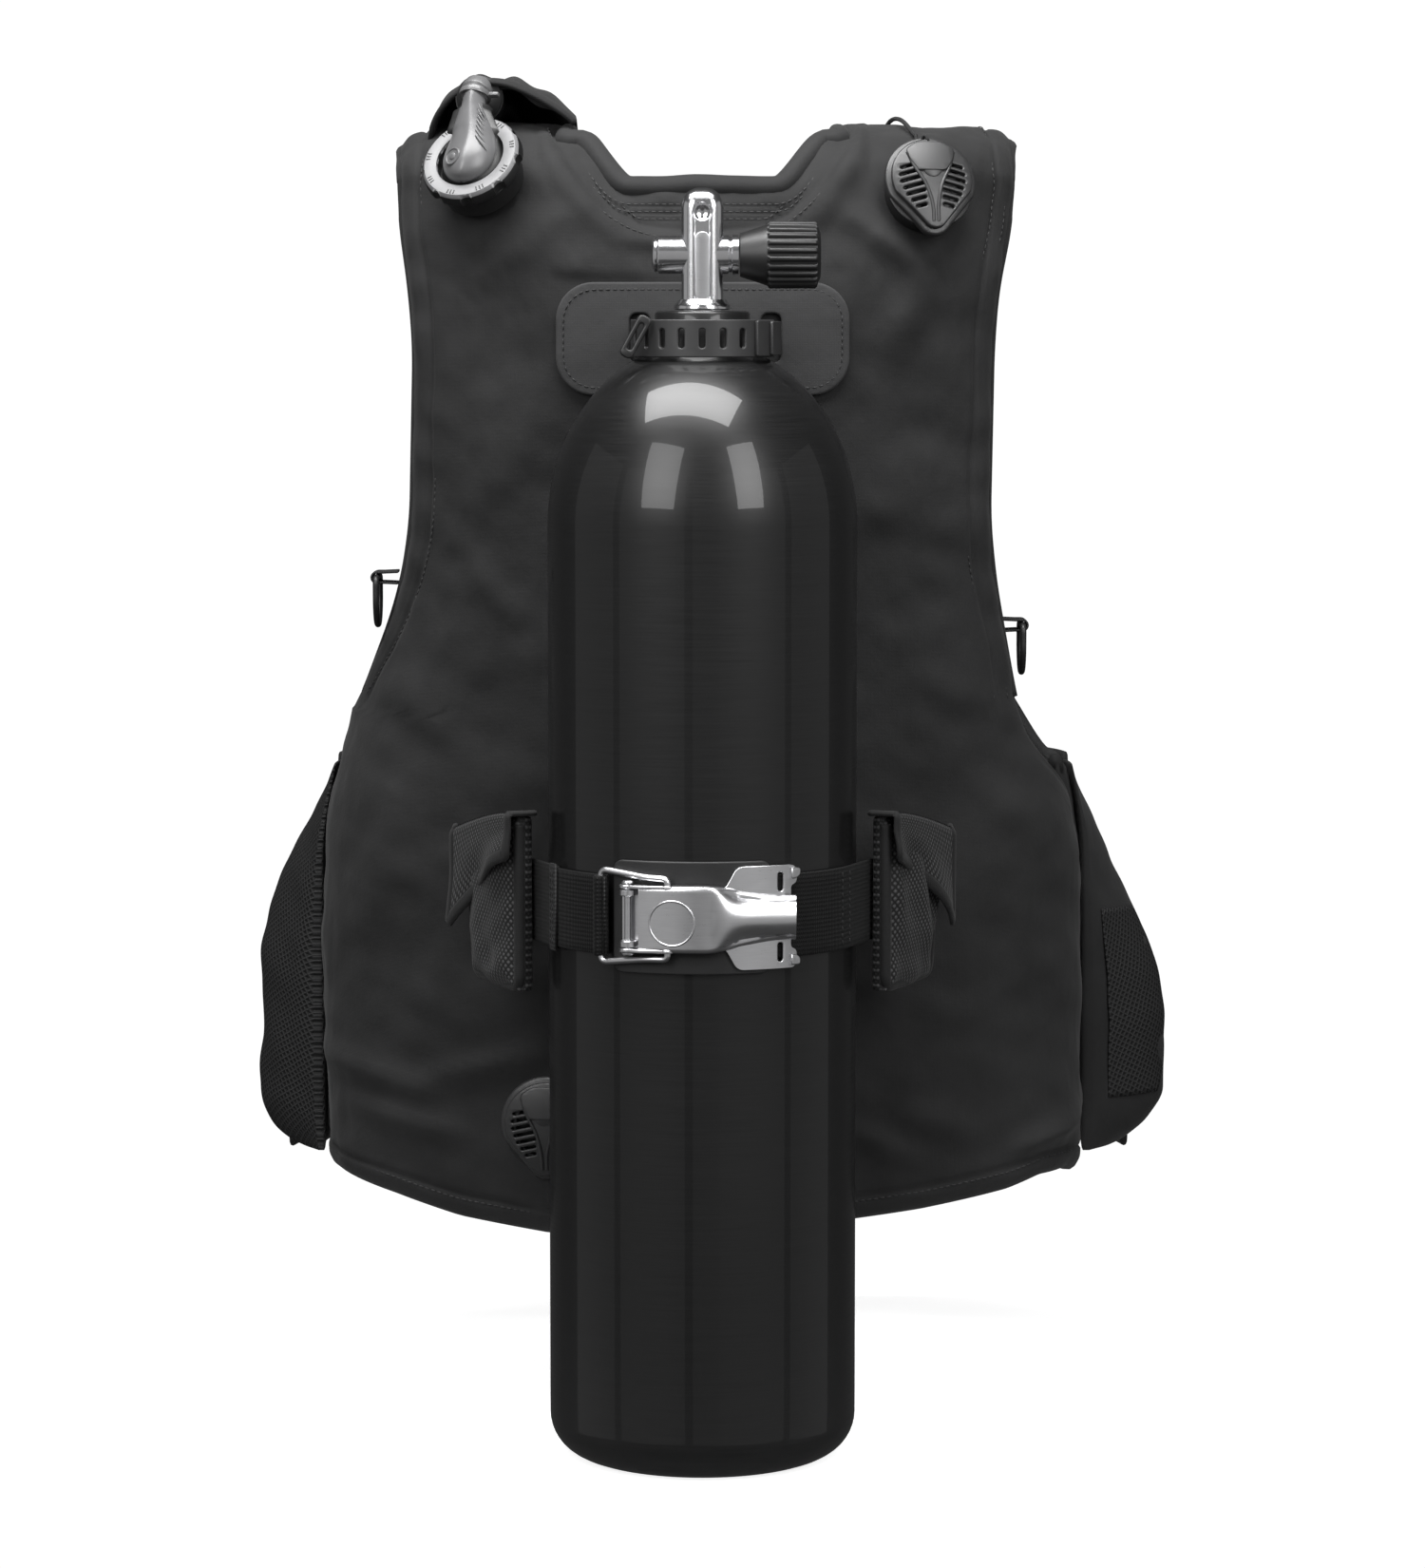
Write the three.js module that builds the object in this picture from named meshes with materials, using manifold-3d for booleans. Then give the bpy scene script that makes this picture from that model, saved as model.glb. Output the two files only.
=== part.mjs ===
// Buoyancy compensator vest (diving jacket), rigged on an aluminium diving cylinder.
//
// Millimetres, +Z up. The origin is the centre of the cylinder's flat base. The wearer faces +Y,
// so the side that carries the cylinder faces -Y, and the wearer's left is -X.

import * as THREE from 'three';
import { mergeVertices } from 'three/addons/utils/BufferGeometryUtils.js';
import Module from 'manifold-3d';

const wasm = await Module();
wasm.setup();

// ---------------------------------------------------------------- driving dimensions

const GAP = 0.4; // clearance between neighbouring pieces

// Cylinder
const TANK_RADIUS = 92;
const TANK_WALL = 13.5;
const TANK_BASE_WALL = 19;
const TANK_BASE_RADIUS = 67;
const TANK_EDGE_RADIUS = 25;
const TANK_SHOULDER_Z = 560;
const TANK_DOME_HEIGHT = 108;
const TANK_NECK_RADIUS = 30;
const TANK_NECK_TOP_Z = 686;
const TANK_BORE_RADIUS = 12.6;
const TANK_SEGMENTS = 28;

// Valve, measured from the top of the cylinder's neck
const VALVE_WIDTH = 26;
const VALVE_HEIGHT = 72;
const VALVE_ARM_RADIUS = 12.5;
const VALVE_ARM_Z = 32.5;
const HANDWHEEL_RADIUS = 19.75;
const HANDWHEEL_START = 22;
const HANDWHEEL_END = 70;
const HANDWHEEL_RIBS = 12;

// Vest body: a rounded-box section around the wearer's trunk
const TORSO_Y = 232;
const TORSO_POWER = 2.7;
const HIP_HALF_WIDTH = 222;
const CHEST_HALF_WIDTH = 190;
const BODY_HALF_DEPTH = 112;
const SHOULDER_HALF_DEPTH = 96;
const VEST_THICKNESS = 22;
const BACK_TOP_Z = 745;
const FRONT_EDGE_F = 1.83; // how far round the trunk the front panels reach, 2 is the front centre
const LEFT_EDGE = [[413, -236], [450, -218], [470, -210], [490, -201], [521, -191], [557, -185],
  [664, -182], [700, -185], [BACK_TOP_Z, -192]];
const RIGHT_EDGE = [[385, 238], [413, 212], [431, 202.5], [449, 198.5], [484, 192], [521, 185],
  [557, 181], [664, 183], [700, 186], [BACK_TOP_Z, 196]];

// Shoulders, as a curve in the YZ plane that the outer surface follows from back to front
const SHOULDER_PATH = [[120, 738], [127.5, 769], [148, 793], [187, 805], [238, 796], [282, 764],
  [316, 710], [340, 650], [351, 590]];
const SHOULDER_LEAN_Z = 738;
const SHOULDER_LEAN_RADIUS = 67;
const SHOULDER_INNER_X = 84;
const SHOULDER_FRONT_THICKNESS = 14;
const SHOULDER_END_Z = 599;

// Cam band and its buckle
const BAND_Z = 336;
const BAND_HALF = 24.5;
const BAND_INNER = 92.8;
const BAND_OUTER = 95.2;
const BAND_LEAVE_ANGLE = 68.3; // degrees from the front, where the band leaves the cylinder
const BAND_RUN = 151; // straight run from the cylinder to the back panel
const BAND_END_ANGLE = 66; // where the loose end of the band meets its fixed run
const BAND_END_PLAY = 1.7; // degrees left between the two, which the opening buckle takes up
const BUCKLE_Z = BAND_Z;
const LEVER_PIVOT = [-43, -91.4];
const BAIL_PIVOT = [-20, -98.8];
const BAIL_BAR = [-58.8, -79.1];
const LEVER_ARC_CENTRE = [5, 12];
const LEVER_ARC_RADIUS = 117;
const LEVER_HALF = 19.6;
const LEVER_SHEET = 2;
const BAIL_HALF = 27.2;
const WIRE_RADIUS = 2;

// Side pockets, depth beyond the vest body
const POCKET_LOW_Z = 142;
const POCKET_TOP_Z = 395;
const LEFT_POCKET_DEPTH = 41;
const RIGHT_POCKET_DEPTH = 54;
const POCKET_END_F = 1.55;

// Inflator on the left shoulder and dump valve on the right one
const ELBOW_SPOT = [-139, 119, 773];
const ELBOW_AXIS = [-0.31, -0.74, 0.6];
const UPPER_DUMP_SPOT = [139, 117, 762];
const UPPER_DUMP_AXIS = [0.2, -0.9, 0.36];
const LOWER_DUMP_SPOT = [-97, 100.5, 181];
const LOWER_DUMP_AXIS = [-0.14, -0.99, 0];
const HOSE_RADIUS = 14;
const HOSE_ROUTE = [[-131, 150, 823], [-130, 190, 821], [-128, 240, 811], [-124, 290, 778],
  [-119, 328, 723], [-113, 356, 655], [-108, 374, 605], [-105, 382, 562]];
const INFLATOR_TOP = [-105, 384, 560];
// Pull cord of the upper dump valve: x, how far over the shoulder, height above the fabric
const CORD_ROUTE = [[132, 0.16, 3], [124, 0.24, 2], [118, 0.32, 2], [114, 0.42, 2],
  [110, 0.52, 3], [106, 0.62, 6], [104, 0.7, 10], [103, 0.76, 12]];

// ---------------------------------------------------------------- geometry helpers

const UP = new THREE.Vector3(0, 0, 1);
const DEGREE = Math.PI / 180;
const mix = THREE.MathUtils.lerp;
const ease = THREE.MathUtils.smoothstep;

/** Flips a closed geometry whose faces point in. */
function facingOut(geometry) {
  const spots = geometry.attributes.position;
  const corner = [0, 1, 2].map(() => new THREE.Vector3());
  const index = geometry.index ? [...geometry.index.array] : [...Array(spots.count).keys()];
  let volume = 0;
  for (let i = 0; i < index.length; i += 3) {
    corner.forEach((vector, k) => vector.fromBufferAttribute(spots, index[i + k]));
    volume += corner[0].dot(corner[1].cross(corner[2]));
  }
  if (volume < 0) {
    for (let i = 0; i < index.length; i += 3) {
      [index[i], index[i + 1]] = [index[i + 1], index[i]];
    }
  }
  geometry.setIndex(index);
  return geometry;
}

/** Joins shared corners and drops triangles without area, so the surface is one closed sheet. */
function welded(geometry) {
  const bare = geometry.clone();
  bare.deleteAttribute('normal');
  bare.deleteAttribute('uv');
  const merged = mergeVertices(bare, 1e-3);
  const kept = [];
  const index = merged.index.array;
  for (let i = 0; i < index.length; i += 3) {
    const [a, b, c] = [index[i], index[i + 1], index[i + 2]];
    if (a !== b && b !== c && a !== c) kept.push(a, b, c);
  }
  merged.setIndex(kept);
  return facingOut(merged);
}

function toSolid(geometry) {
  const closed = welded(geometry);
  return new wasm.Manifold(new wasm.Mesh({
    numProp: 3,
    vertProperties: new Float32Array(closed.attributes.position.array),
    triVerts: new Uint32Array(closed.index.array),
  }));
}

function toGeometry(solid) {
  const { vertProperties, triVerts } = solid.getMesh();
  const geometry = new THREE.BufferGeometry();
  geometry.setAttribute('position', new THREE.BufferAttribute(vertProperties, 3));
  geometry.setIndex(new THREE.BufferAttribute(triVerts, 1));
  return geometry;
}

const joined = (first, ...others) => toGeometry(
  others.reduce((solid, other) => solid.add(toSolid(other)), toSolid(first)),
);
const cut = (first, ...cutters) => toGeometry(
  cutters.reduce((solid, cutter) => solid.subtract(toSolid(cutter)), toSolid(first)),
);
const shared = (first, second) => toGeometry(toSolid(first).intersect(toSolid(second)));

/** A box given by its lowest and highest corners. */
function block(low, high) {
  const size = high.map((value, i) => value - low[i]);
  const geometry = new THREE.BoxGeometry(...size);
  return geometry.translate(...low.map((value, i) => value + size[i] / 2));
}

/** A box of cells bent by a function of three numbers that each run from 0 to 1. */
function bentBox(cells, bend) {
  const geometry = new THREE.BoxGeometry(1, 1, 1, ...cells);
  const spots = geometry.attributes.position;
  const spot = new THREE.Vector3();
  for (let i = 0; i < spots.count; i += 1) {
    spot.fromBufferAttribute(spots, i).addScalar(0.5);
    spots.setXYZ(i, ...bend(spot.x, spot.y, spot.z));
  }
  return welded(geometry);
}

/** A closed tube whose radius follows radiusAt along a curve; squash flattens its section. */
function taperedTube(curve, radiusAt, sides, steps, squash = 1) {
  const geometry = new THREE.CylinderGeometry(1, 1, 1, sides, steps);
  const frames = curve.computeFrenetFrames(steps);
  const spots = geometry.attributes.position;
  for (let i = 0; i < spots.count; i += 1) {
    const along = Math.round((spots.getY(i) + 0.5) * steps);
    const radius = radiusAt(along / steps);
    const spot = curve.getPointAt(along / steps)
      .addScaledVector(frames.normals[along], spots.getX(i) * radius)
      .addScaledVector(frames.binormals[along], spots.getZ(i) * radius * squash);
    spots.setXYZ(i, spot.x, spot.y, spot.z);
  }
  return welded(geometry);
}

/** A solid of revolution about +Z from [radius, height] pairs. */
function turned(profile, segments) {
  const points = profile.map(([radius, height]) => new THREE.Vector2(radius, height));
  return new THREE.LatheGeometry(points, segments).rotateX(Math.PI / 2);
}

/** A straight rod between two points. */
function rod(from, to, radius, sides = 10) {
  const start = new THREE.Vector3(...from);
  const end = new THREE.Vector3(...to);
  const length = start.distanceTo(end);
  const turn = new THREE.Quaternion().setFromUnitVectors(
    new THREE.Vector3(0, 1, 0),
    end.clone().sub(start).normalize(),
  );
  const middle = start.clone().add(end).multiplyScalar(0.5);
  return new THREE.CylinderGeometry(radius, radius, length, sides)
    .applyQuaternion(turn)
    .translate(middle.x, middle.y, middle.z);
}

/** An XY outline raised from one height to another. */
function raised(outline, low, high, holes = []) {
  const shape = new THREE.Shape(outline.map(([x, y]) => new THREE.Vector2(x, y)));
  holes.forEach((hole) => {
    shape.holes.push(new THREE.Path(hole.map(([x, y]) => new THREE.Vector2(x, y))));
  });
  return new THREE.ExtrudeGeometry(shape, { depth: high - low, bevelEnabled: false })
    .translate(0, 0, low);
}

/** A cord or hose of constant section along a route. */
function routed(route, radius, sides, steps) {
  const ring = circle([0, 0], radius, sides).map(([x, y]) => new THREE.Vector2(x, y));
  const extrudePath = new THREE.CatmullRomCurve3(route.map((spot) => new THREE.Vector3(...spot)));
  return new THREE.ExtrudeGeometry(new THREE.Shape(ring), { extrudePath, steps });
}

/** Points on an arc in the XY plane; angles in degrees from -Y towards +X. */
function arc([x, y], radius, from, to, steps) {
  return Array.from({ length: steps + 1 }, (_, i) => {
    const angle = mix(from, to, i / steps) * DEGREE;
    return [x + radius * Math.sin(angle), y - radius * Math.cos(angle)];
  });
}

const circle = (centre, radius, sides) => arc(centre, radius, 0, 360, sides).slice(0, -1);

/** A curved strip about the cylinder's axis, between two radii, angles and heights. */
function strip(inner, outer, from, to, low, high, steps) {
  return raised([
    ...arc([0, 0], outer, from, to, steps),
    ...arc([0, 0], inner, to, from, steps),
  ], low, high);
}

/** A rectangle with rounded corners, as an outline about the origin. */
function roundedOutline(width, height, radius, steps = 3) {
  const [x, y] = [width / 2 - radius, height / 2 - radius];
  return [
    ...arc([x, -y], radius, 0, 90, steps),
    ...arc([x, y], radius, 90, 180, steps),
    ...arc([-x, y], radius, 180, 270, steps),
    ...arc([-x, -y], radius, 270, 360, steps),
  ];
}

/** Value of a table of [key, value] rows at a key, straight between the rows. */
function tableAt(table, key) {
  if (key <= table[0][0]) return table[0][1];
  for (let i = 1; i < table.length; i += 1) {
    if (key <= table[i][0]) {
      const [[k0, v0], [k1, v1]] = [table[i - 1], table[i]];
      return mix(v0, v1, (key - k0) / (k1 - k0));
    }
  }
  return table[table.length - 1][1];
}

/** Sets a group at a spot with its local +Z along an axis and its local +Y as upright as it can. */
function aim(group, spot, axis) {
  const out = new THREE.Vector3(...axis).normalize();
  const side = new THREE.Vector3().crossVectors(UP, out).normalize();
  const upright = new THREE.Vector3().crossVectors(out, side);
  group.quaternion.setFromRotationMatrix(new THREE.Matrix4().makeBasis(side, upright, out));
  group.position.set(...spot);
  group.updateMatrixWorld(true);
  return group;
}

/** Copy of a world-space geometry in a group's own frame. */
function inFrameOf(group, geometry) {
  return geometry.clone().applyMatrix4(group.matrixWorld.clone().invert());
}

// ---------------------------------------------------------------- finishes and naming

const finish = (color, roughness, metalness = 0) => () => new THREE.MeshStandardMaterial({
  color, roughness, metalness,
});
const fabric = finish(0x2b2b2c, 0.85);
const greyPatch = finish(0x4b4b4d, 0.8);
const meshFabric = finish(0x1f1f20, 0.9);
const webbing = finish(0x151516, 0.75);
const rubber = finish(0x121212, 0.6);
const moulded = finish(0x1c1c1d, 0.45);
const ringGrey = finish(0xb4b4b4, 0.5);
const badgeGrey = finish(0x555557, 0.4);
const chrome = finish(0xd0d2d4, 0.12, 1);
const steel = finish(0xa9abad, 0.35, 1);
const tankBlack = finish(0x0b0b0c, 0.18, 0.2);

const vest = new THREE.Group();

function add(name, geometry, material, parent = vest) {
  const mesh = new THREE.Mesh(welded(geometry), material());
  mesh.name = name;
  parent.add(mesh);
  return mesh;
}

// ---------------------------------------------------------------- cylinder and valve

function buildCylinder() {
  const dome = (radius, height, base, edge) => Array.from({ length: 6 }, (_, i) => {
    const angle = mix(0, Math.acos(edge / radius), i / 5);
    return [radius * Math.cos(angle), base + height * Math.sin(angle)];
  });
  const edge = Array.from({ length: 5 }, (_, i) => {
    const angle = mix(0, 90, i / 4) * DEGREE;
    return [
      TANK_BASE_RADIUS + TANK_EDGE_RADIUS * Math.sin(angle),
      TANK_EDGE_RADIUS * (1 - Math.cos(angle)),
    ];
  });
  const inner = TANK_RADIUS - TANK_WALL;
  const profile = [
    [0, 0],
    ...edge,
    ...dome(TANK_RADIUS, TANK_DOME_HEIGHT, TANK_SHOULDER_Z, TANK_NECK_RADIUS),
    [TANK_NECK_RADIUS, TANK_NECK_TOP_Z],
    [TANK_BORE_RADIUS, TANK_NECK_TOP_Z],
    ...dome(inner, TANK_DOME_HEIGHT - TANK_WALL, TANK_SHOULDER_Z, TANK_BORE_RADIUS).reverse(),
    [inner, TANK_EDGE_RADIUS + TANK_BASE_WALL],
    [TANK_BASE_RADIUS - TANK_BASE_WALL / 2, TANK_BASE_WALL],
    [0, TANK_BASE_WALL],
  ];
  add('cylinder_shell', turned(profile, TANK_SEGMENTS), tankBlack);
}

function buildValve() {
  const valve = new THREE.Group();
  valve.position.z = TANK_NECK_TOP_Z + GAP;
  vest.add(valve);

  const half = VALVE_WIDTH / 2;
  const post = shared(
    raised(roundedOutline(VALVE_WIDTH, VALVE_WIDTH, 4, 2), 0, VALVE_HEIGHT),
    turned([[0, -1], [17, -1], [17, 62], [13, 68], [7, 71], [0, 71.8]], 16),
  );
  const armLeft = -HANDWHEEL_START;
  const body = joined(
    post,
    rod([armLeft, 0, VALVE_ARM_Z], [half + 0.5, 0, VALVE_ARM_Z], VALVE_ARM_RADIUS, 16),
    turned([[0, 0.5], [17, 0.5], [17, 3], [14, 6], [0, 6]], 16),
    turned([[0, -24], [12, -24], [12, 3], [0, 3]], 16),
  );
  const groove = new THREE.LatheGeometry([
    [6.8, 0], [11, 0], [11, 2.6], [6.8, 2.6], [6.8, 0],
  ].map(([r, y]) => new THREE.Vector2(r, y)), 16).translate(0, half - 2.4, VALVE_ARM_Z + 20);
  const dimple = new THREE.SphereGeometry(8, 10, 6).translate(0, -half - 4.5, VALVE_ARM_Z + 24);
  const outletBore = rod([0, half - 7, VALVE_ARM_Z + 20], [0, half + 1, VALVE_ARM_Z + 20], 3.5);
  const dipBore = rod([0, 0, -25], [0, 0, 10], 5.4, 12);
  add('valve_body', cut(body, groove, dimple, outletBore, dipBore), chrome, valve);

  const ring = Array.from({ length: 7 }, (_, i) => {
    const angle = (i % 6) * 60 * DEGREE;
    return new THREE.Vector2(8.9 + 1.7 * Math.cos(angle), 1.7 * Math.sin(angle));
  });
  const seal = new THREE.LatheGeometry(ring, 16).translate(0, half - 0.4, VALVE_ARM_Z + 20);
  add('outlet_o_ring', seal, rubber, valve);

  const tube = [[3, -60], [5, -60], [5, 8], [3, 8], [3, -60]];
  add('dip_tube', turned(tube, 12), steel, valve);

  const plugStart = armLeft - GAP;
  const plug = rod([plugStart - 9, 0, VALVE_ARM_Z], [plugStart, 0, VALVE_ARM_Z], 10, 6);
  add('burst_disc_plug', plug, chrome, valve);

  const bonnetStart = half + 0.5 + GAP;
  const bonnet = joined(
    rod([bonnetStart, 0, VALVE_ARM_Z], [HANDWHEEL_START - 3, 0, VALVE_ARM_Z], 12.3, 20),
    rod([bonnetStart + 2, 0, VALVE_ARM_Z], [HANDWHEEL_START - GAP, 0, VALVE_ARM_Z], 10, 12),
  );
  add('valve_bonnet', bonnet, chrome, valve);

  const knob = new THREE.Group();
  knob.position.set(HANDWHEEL_START, 0, VALVE_ARM_Z);
  knob.rotation.y = Math.PI / 2;
  valve.add(knob);
  const length = HANDWHEEL_END - HANDWHEEL_START;
  const hub = turned([[0, 0], [12.5, 0], [17.6, 14], [18.2, 15], [18.2, length - 2], [16, length],
    [0, length]], 24);
  const ribs = Array.from({ length: HANDWHEEL_RIBS }, (_, i) => {
    const middle = (i * 360) / HANDWHEEL_RIBS;
    const half = 90 / HANDWHEEL_RIBS;
    const root = HANDWHEEL_RADIUS - 2.4;
    return [
      ...arc([0, 0], root, middle - 2 * half, middle - half * 1.3, 1),
      ...arc([0, 0], HANDWHEEL_RADIUS, middle - half, middle + half, 1),
      ...arc([0, 0], root, middle + half * 1.3, middle + 2 * half, 1).slice(0, 1),
    ];
  }).flat();
  add('valve_handwheel', joined(hub, raised(ribs, 16, length - 3)), rubber, knob);
}

// ---------------------------------------------------------------- neck strap

function buildNeckStrap() {
  const [inner, outer, reach] = [39.3, 42.8, 96.2];
  const [low, high] = [659, 681];
  const outline = [
    [outer, reach],
    [inner, reach],
    ...arc([0, 0], inner, 90, -90, 18),
    [-inner, reach],
    [-outer, reach],
    ...arc([0, 0], outer, -90, 90, 18),
  ];
  const slots = Array.from({ length: 7 }, (_, i) => {
    const angle = -51 + i * 17;
    const slot = block([-1.7, -outer - 2, low + 5.5], [1.7, -inner + 2, high - 5.5]);
    return slot.rotateZ(angle * DEGREE);
  });
  add('neck_strap', cut(raised(outline, low, high), ...slots), rubber);

  const clip = new THREE.Group();
  clip.position.set(-39, -33, 672);
  clip.rotation.y = 0.5;
  vest.add(clip);
  add('neck_strap_clip', raised(roundedOutline(7, 5, 1.5, 2), -12.5, 12.5), moulded, clip);
}

// ---------------------------------------------------------------- trunk surface

const sectionPower = 2 / TORSO_POWER;
const spreadPower = 1.35; // keeps the steps round the trunk even

const halfWidth = (z) => mix(HIP_HALF_WIDTH, CHEST_HALF_WIDTH, ease(z, 330, 520));
const halfDepth = (z) => mix(BODY_HALF_DEPTH, SHOULDER_HALF_DEPTH, ease(z, 680, 800));

/** How far the back leans forward where it rolls over the shoulders. */
function lean(z) {
  const rise = THREE.MathUtils.clamp(z - SHOULDER_LEAN_Z, 0, SHOULDER_LEAN_RADIUS * 0.93);
  return SHOULDER_LEAN_RADIUS - Math.sqrt(SHOULDER_LEAN_RADIUS ** 2 - rise ** 2);
}

/** Point at f round the trunk: 0 back centre, 1 side, 2 front centre; negative f is -X. */
function torso(f, z, off) {
  const wrapped = f > 2 ? f - 4 : f;
  const around = Math.abs(wrapped);
  const quarter = around > 1 ? 2 - around : around;
  const [near, far] = [quarter ** spreadPower, (1 - quarter) ** spreadPower];
  const angle = (Math.PI / 2) * (near / (near + far));
  const x = (halfWidth(z) + off) * Math.sin(angle) ** sectionPower;
  const y = (halfDepth(z) + off) * Math.cos(angle) ** sectionPower;
  return [Math.sign(wrapped) * x, TORSO_Y + (around > 1 ? y : -y), z];
}

/** The f of a given x on a surface at an offset. */
function backF(x, z, off) {
  const reach = Math.min(Math.abs(x) / (halfWidth(z) + off), 1);
  const share = Math.asin(reach ** (1 / sectionPower)) / (Math.PI / 2);
  const ratio = (share / (1 - share + 1e-9)) ** (1 / spreadPower);
  return (Math.sign(x) * ratio) / (1 + ratio);
}

/** Point on the back at a given x. */
function back(x, z, off) {
  const [, y] = torso(backF(x, z, off), z, off);
  return [x, y + lean(z), z];
}

// ---------------------------------------------------------------- vest body

function buildBackPanel() {
  const hem = (x) => 122 + 22 * ease(Math.abs(x), 110, 235);
  const sideF = (z, side) => {
    const table = side < 0 ? LEFT_EDGE : RIGHT_EDGE;
    if (z <= table[0][0]) {
      const start = Math.abs(backF(table[0][1], table[0][0], VEST_THICKNESS));
      return mix(0.985, start, ease(z, table[0][0] - 25, table[0][0]));
    }
    return Math.abs(backF(tableAt(table, z), z, VEST_THICKNESS));
  };
  const panel = bentBox([16, 1, 14], (u, t, v) => {
    const across = 2 * u - 1;
    const rough = mix(130, BACK_TOP_Z, v);
    const f = across * sideF(rough, Math.sign(across));
    const [x] = torso(f, rough, VEST_THICKNESS);
    const z = mix(hem(x), BACK_TOP_Z, v);
    const g = across * sideF(z, Math.sign(across));
    const [px, py] = torso(g, z, t * VEST_THICKNESS);
    return [px, py + lean(z), z];
  });
  add('back_panel', panel, fabric);
}

function buildFrontPanel(name, side) {
  const top = (x) => 445 + 153 * ease(-Math.abs(x), -200, -150)
    - 38 * ease(-Math.abs(x), -74, -52);
  const panel = bentBox([9, 1, 9], (u, t, v) => {
    const f = mix(1.01, FRONT_EDGE_F, u);
    const rough = torso(f, 400, VEST_THICKNESS)[0];
    const z = mix(150, top(rough), v);
    return torso(side * f, z, t * VEST_THICKNESS);
  });
  add(name, panel, fabric);
}

const shoulderCurve = new THREE.CatmullRomCurve3(
  SHOULDER_PATH.map(([y, z]) => new THREE.Vector3(0, y, z)),
);

/** Point over a shoulder: x across, t along it from back to front, off from the inner face. */
function overShoulder(x, t, off) {
  const spot = shoulderCurve.getPointAt(t);
  const way = shoulderCurve.getTangentAt(t);
  const atBack = 1 - ease(t, 0.02, 0.4);
  const bend = back(x, BACK_TOP_Z, VEST_THICKNESS)[1] - back(137, BACK_TOP_Z, VEST_THICKNESS)[1];
  const onTop = ease(t, 0.02, 0.2) * (1 - ease(t, 0.3, 0.6));
  const drop = 16 * (Math.max(Math.abs(x) - 119, 0) / 71) ** 1.5 * onTop;
  const proud = off - VEST_THICKNESS;
  return [x, spot.y + atBack * bend - way.z * proud, spot.z - drop + way.y * proud];
}

const SHOULDER_CELLS = [4, 14, 1];

/** A piece of shoulder strap, grown by extra on its outer face and its edges. */
function shoulderSolid(side, inner, extra, cells) {
  const outerX = side < 0 ? 192.5 : 197;
  return bentBox(cells, (u, v, w) => {
    const t = mix(0.03, 1, v);
    const span = ease(t, 0.25, 0.75);
    const x = mix(mix(SHOULDER_INNER_X, 76, span), mix(outerX, 138, span), u);
    const thick = mix(VEST_THICKNESS, SHOULDER_FRONT_THICKNESS, ease(t, 0.1, 0.6));
    const off = mix(VEST_THICKNESS - thick + inner, VEST_THICKNESS + extra, w);
    return overShoulder(side * x, t, off);
  });
}

function buildShoulderStrap(name, side) {
  const strap = shoulderSolid(side, 0, 0, SHOULDER_CELLS);
  const below = block([-250, 250, 500], [250, 450, SHOULDER_END_Z]);
  const behind = block([-250, 50, 600], [250, 200, BACK_TOP_Z + GAP]);
  add(name, cut(strap, below, behind), fabric);
}

function buildCollar() {
  const pad = bentBox([16, 2, 3], (u, t, v) => {
    const x = mix(-83.4, 83.4, u);
    const top = 772 + 27 * ease(Math.abs(x), 44, 72);
    const z = mix(BACK_TOP_Z + GAP, top, v);
    const round = 1 - 0.25 * Math.abs(2 * t - 1) * ease(v, 0.6, 1);
    return back(x, z, mix(3, VEST_THICKNESS, 0.5 + (t - 0.5) * round));
  });
  add('collar_pad', pad, fabric);
}

function buildNeckPanel() {
  const slab = bentBox([10, 1, 4], (u, t, v) => (
    back(mix(-91, 91, u), mix(634, 704, v), VEST_THICKNESS + mix(GAP, 4.2, t))
  ));
  const outline = [
    ...arc([67, -46], 23, 90, 0, 4),
    [30, -69],
    [-30, -69],
    ...arc([-67, -46], 23, 0, -90, 4),
    ...arc([-67, -23], 23, -90, -180, 4),
    ...arc([67, -23], 23, 180, 90, 4),
  ];
  const cutter = raised(outline, 60, 130).rotateX(Math.PI / 2).translate(0, 160, 704);
  const slots = [[-45, -32], [35.5, 48]].map(([left, right]) => (
    block([left, 60, 655], [right, 130, 685])
  ));
  add('neck_panel', cut(shared(slab, cutter), ...slots), greyPatch);
}

function buildCushionAndCradle() {
  const cushion = bentBox([9, 1, 5], (u, t, v) => (
    torso(mix(-0.62, 0.62, u), mix(200, 700, v), mix(-16, -4, t))
  ));
  add('back_cushion', cushion, meshFabric);

  const [hollow, flat, half] = [TANK_RADIUS + 1, 97.2, 69];
  const side = Math.asin(half / hollow) / DEGREE;
  const outline = [
    ...arc([0, 0], hollow, 180 - side, 180 + side, 10),
    [-half, flat],
    [half, flat],
  ];
  add('backpack_cradle', raised(outline, 230, 600), moulded);
}

function buildSidePocket(name, side, depth) {
  const pocket = bentBox([7, 1, 8], (u, t, v) => {
    const z = mix(POCKET_LOW_Z, POCKET_TOP_Z, v);
    const tall = ease(v, -0.08, 0.2) * (1 - ease(v, 0.5, 1.05));
    const round = ease(u, -0.1, 0.28) * (1 - 0.75 * ease(u, 0.45, 1));
    const proud = VEST_THICKNESS + 2 + t * (2 + depth * tall * round);
    return torso(side * mix(1.01, POCKET_END_F, u), z, proud);
  });
  add(name, pocket, meshFabric);
}

function buildCummerbund() {
  const belt = bentBox([18, 1, 1], (u, t, v) => (
    torso(mix(1.2, 2.8, u), mix(190, 290, v), mix(-6, -2.5, t))
  ));
  add('cummerbund', belt, webbing);
}

// ---------------------------------------------------------------- harness

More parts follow.
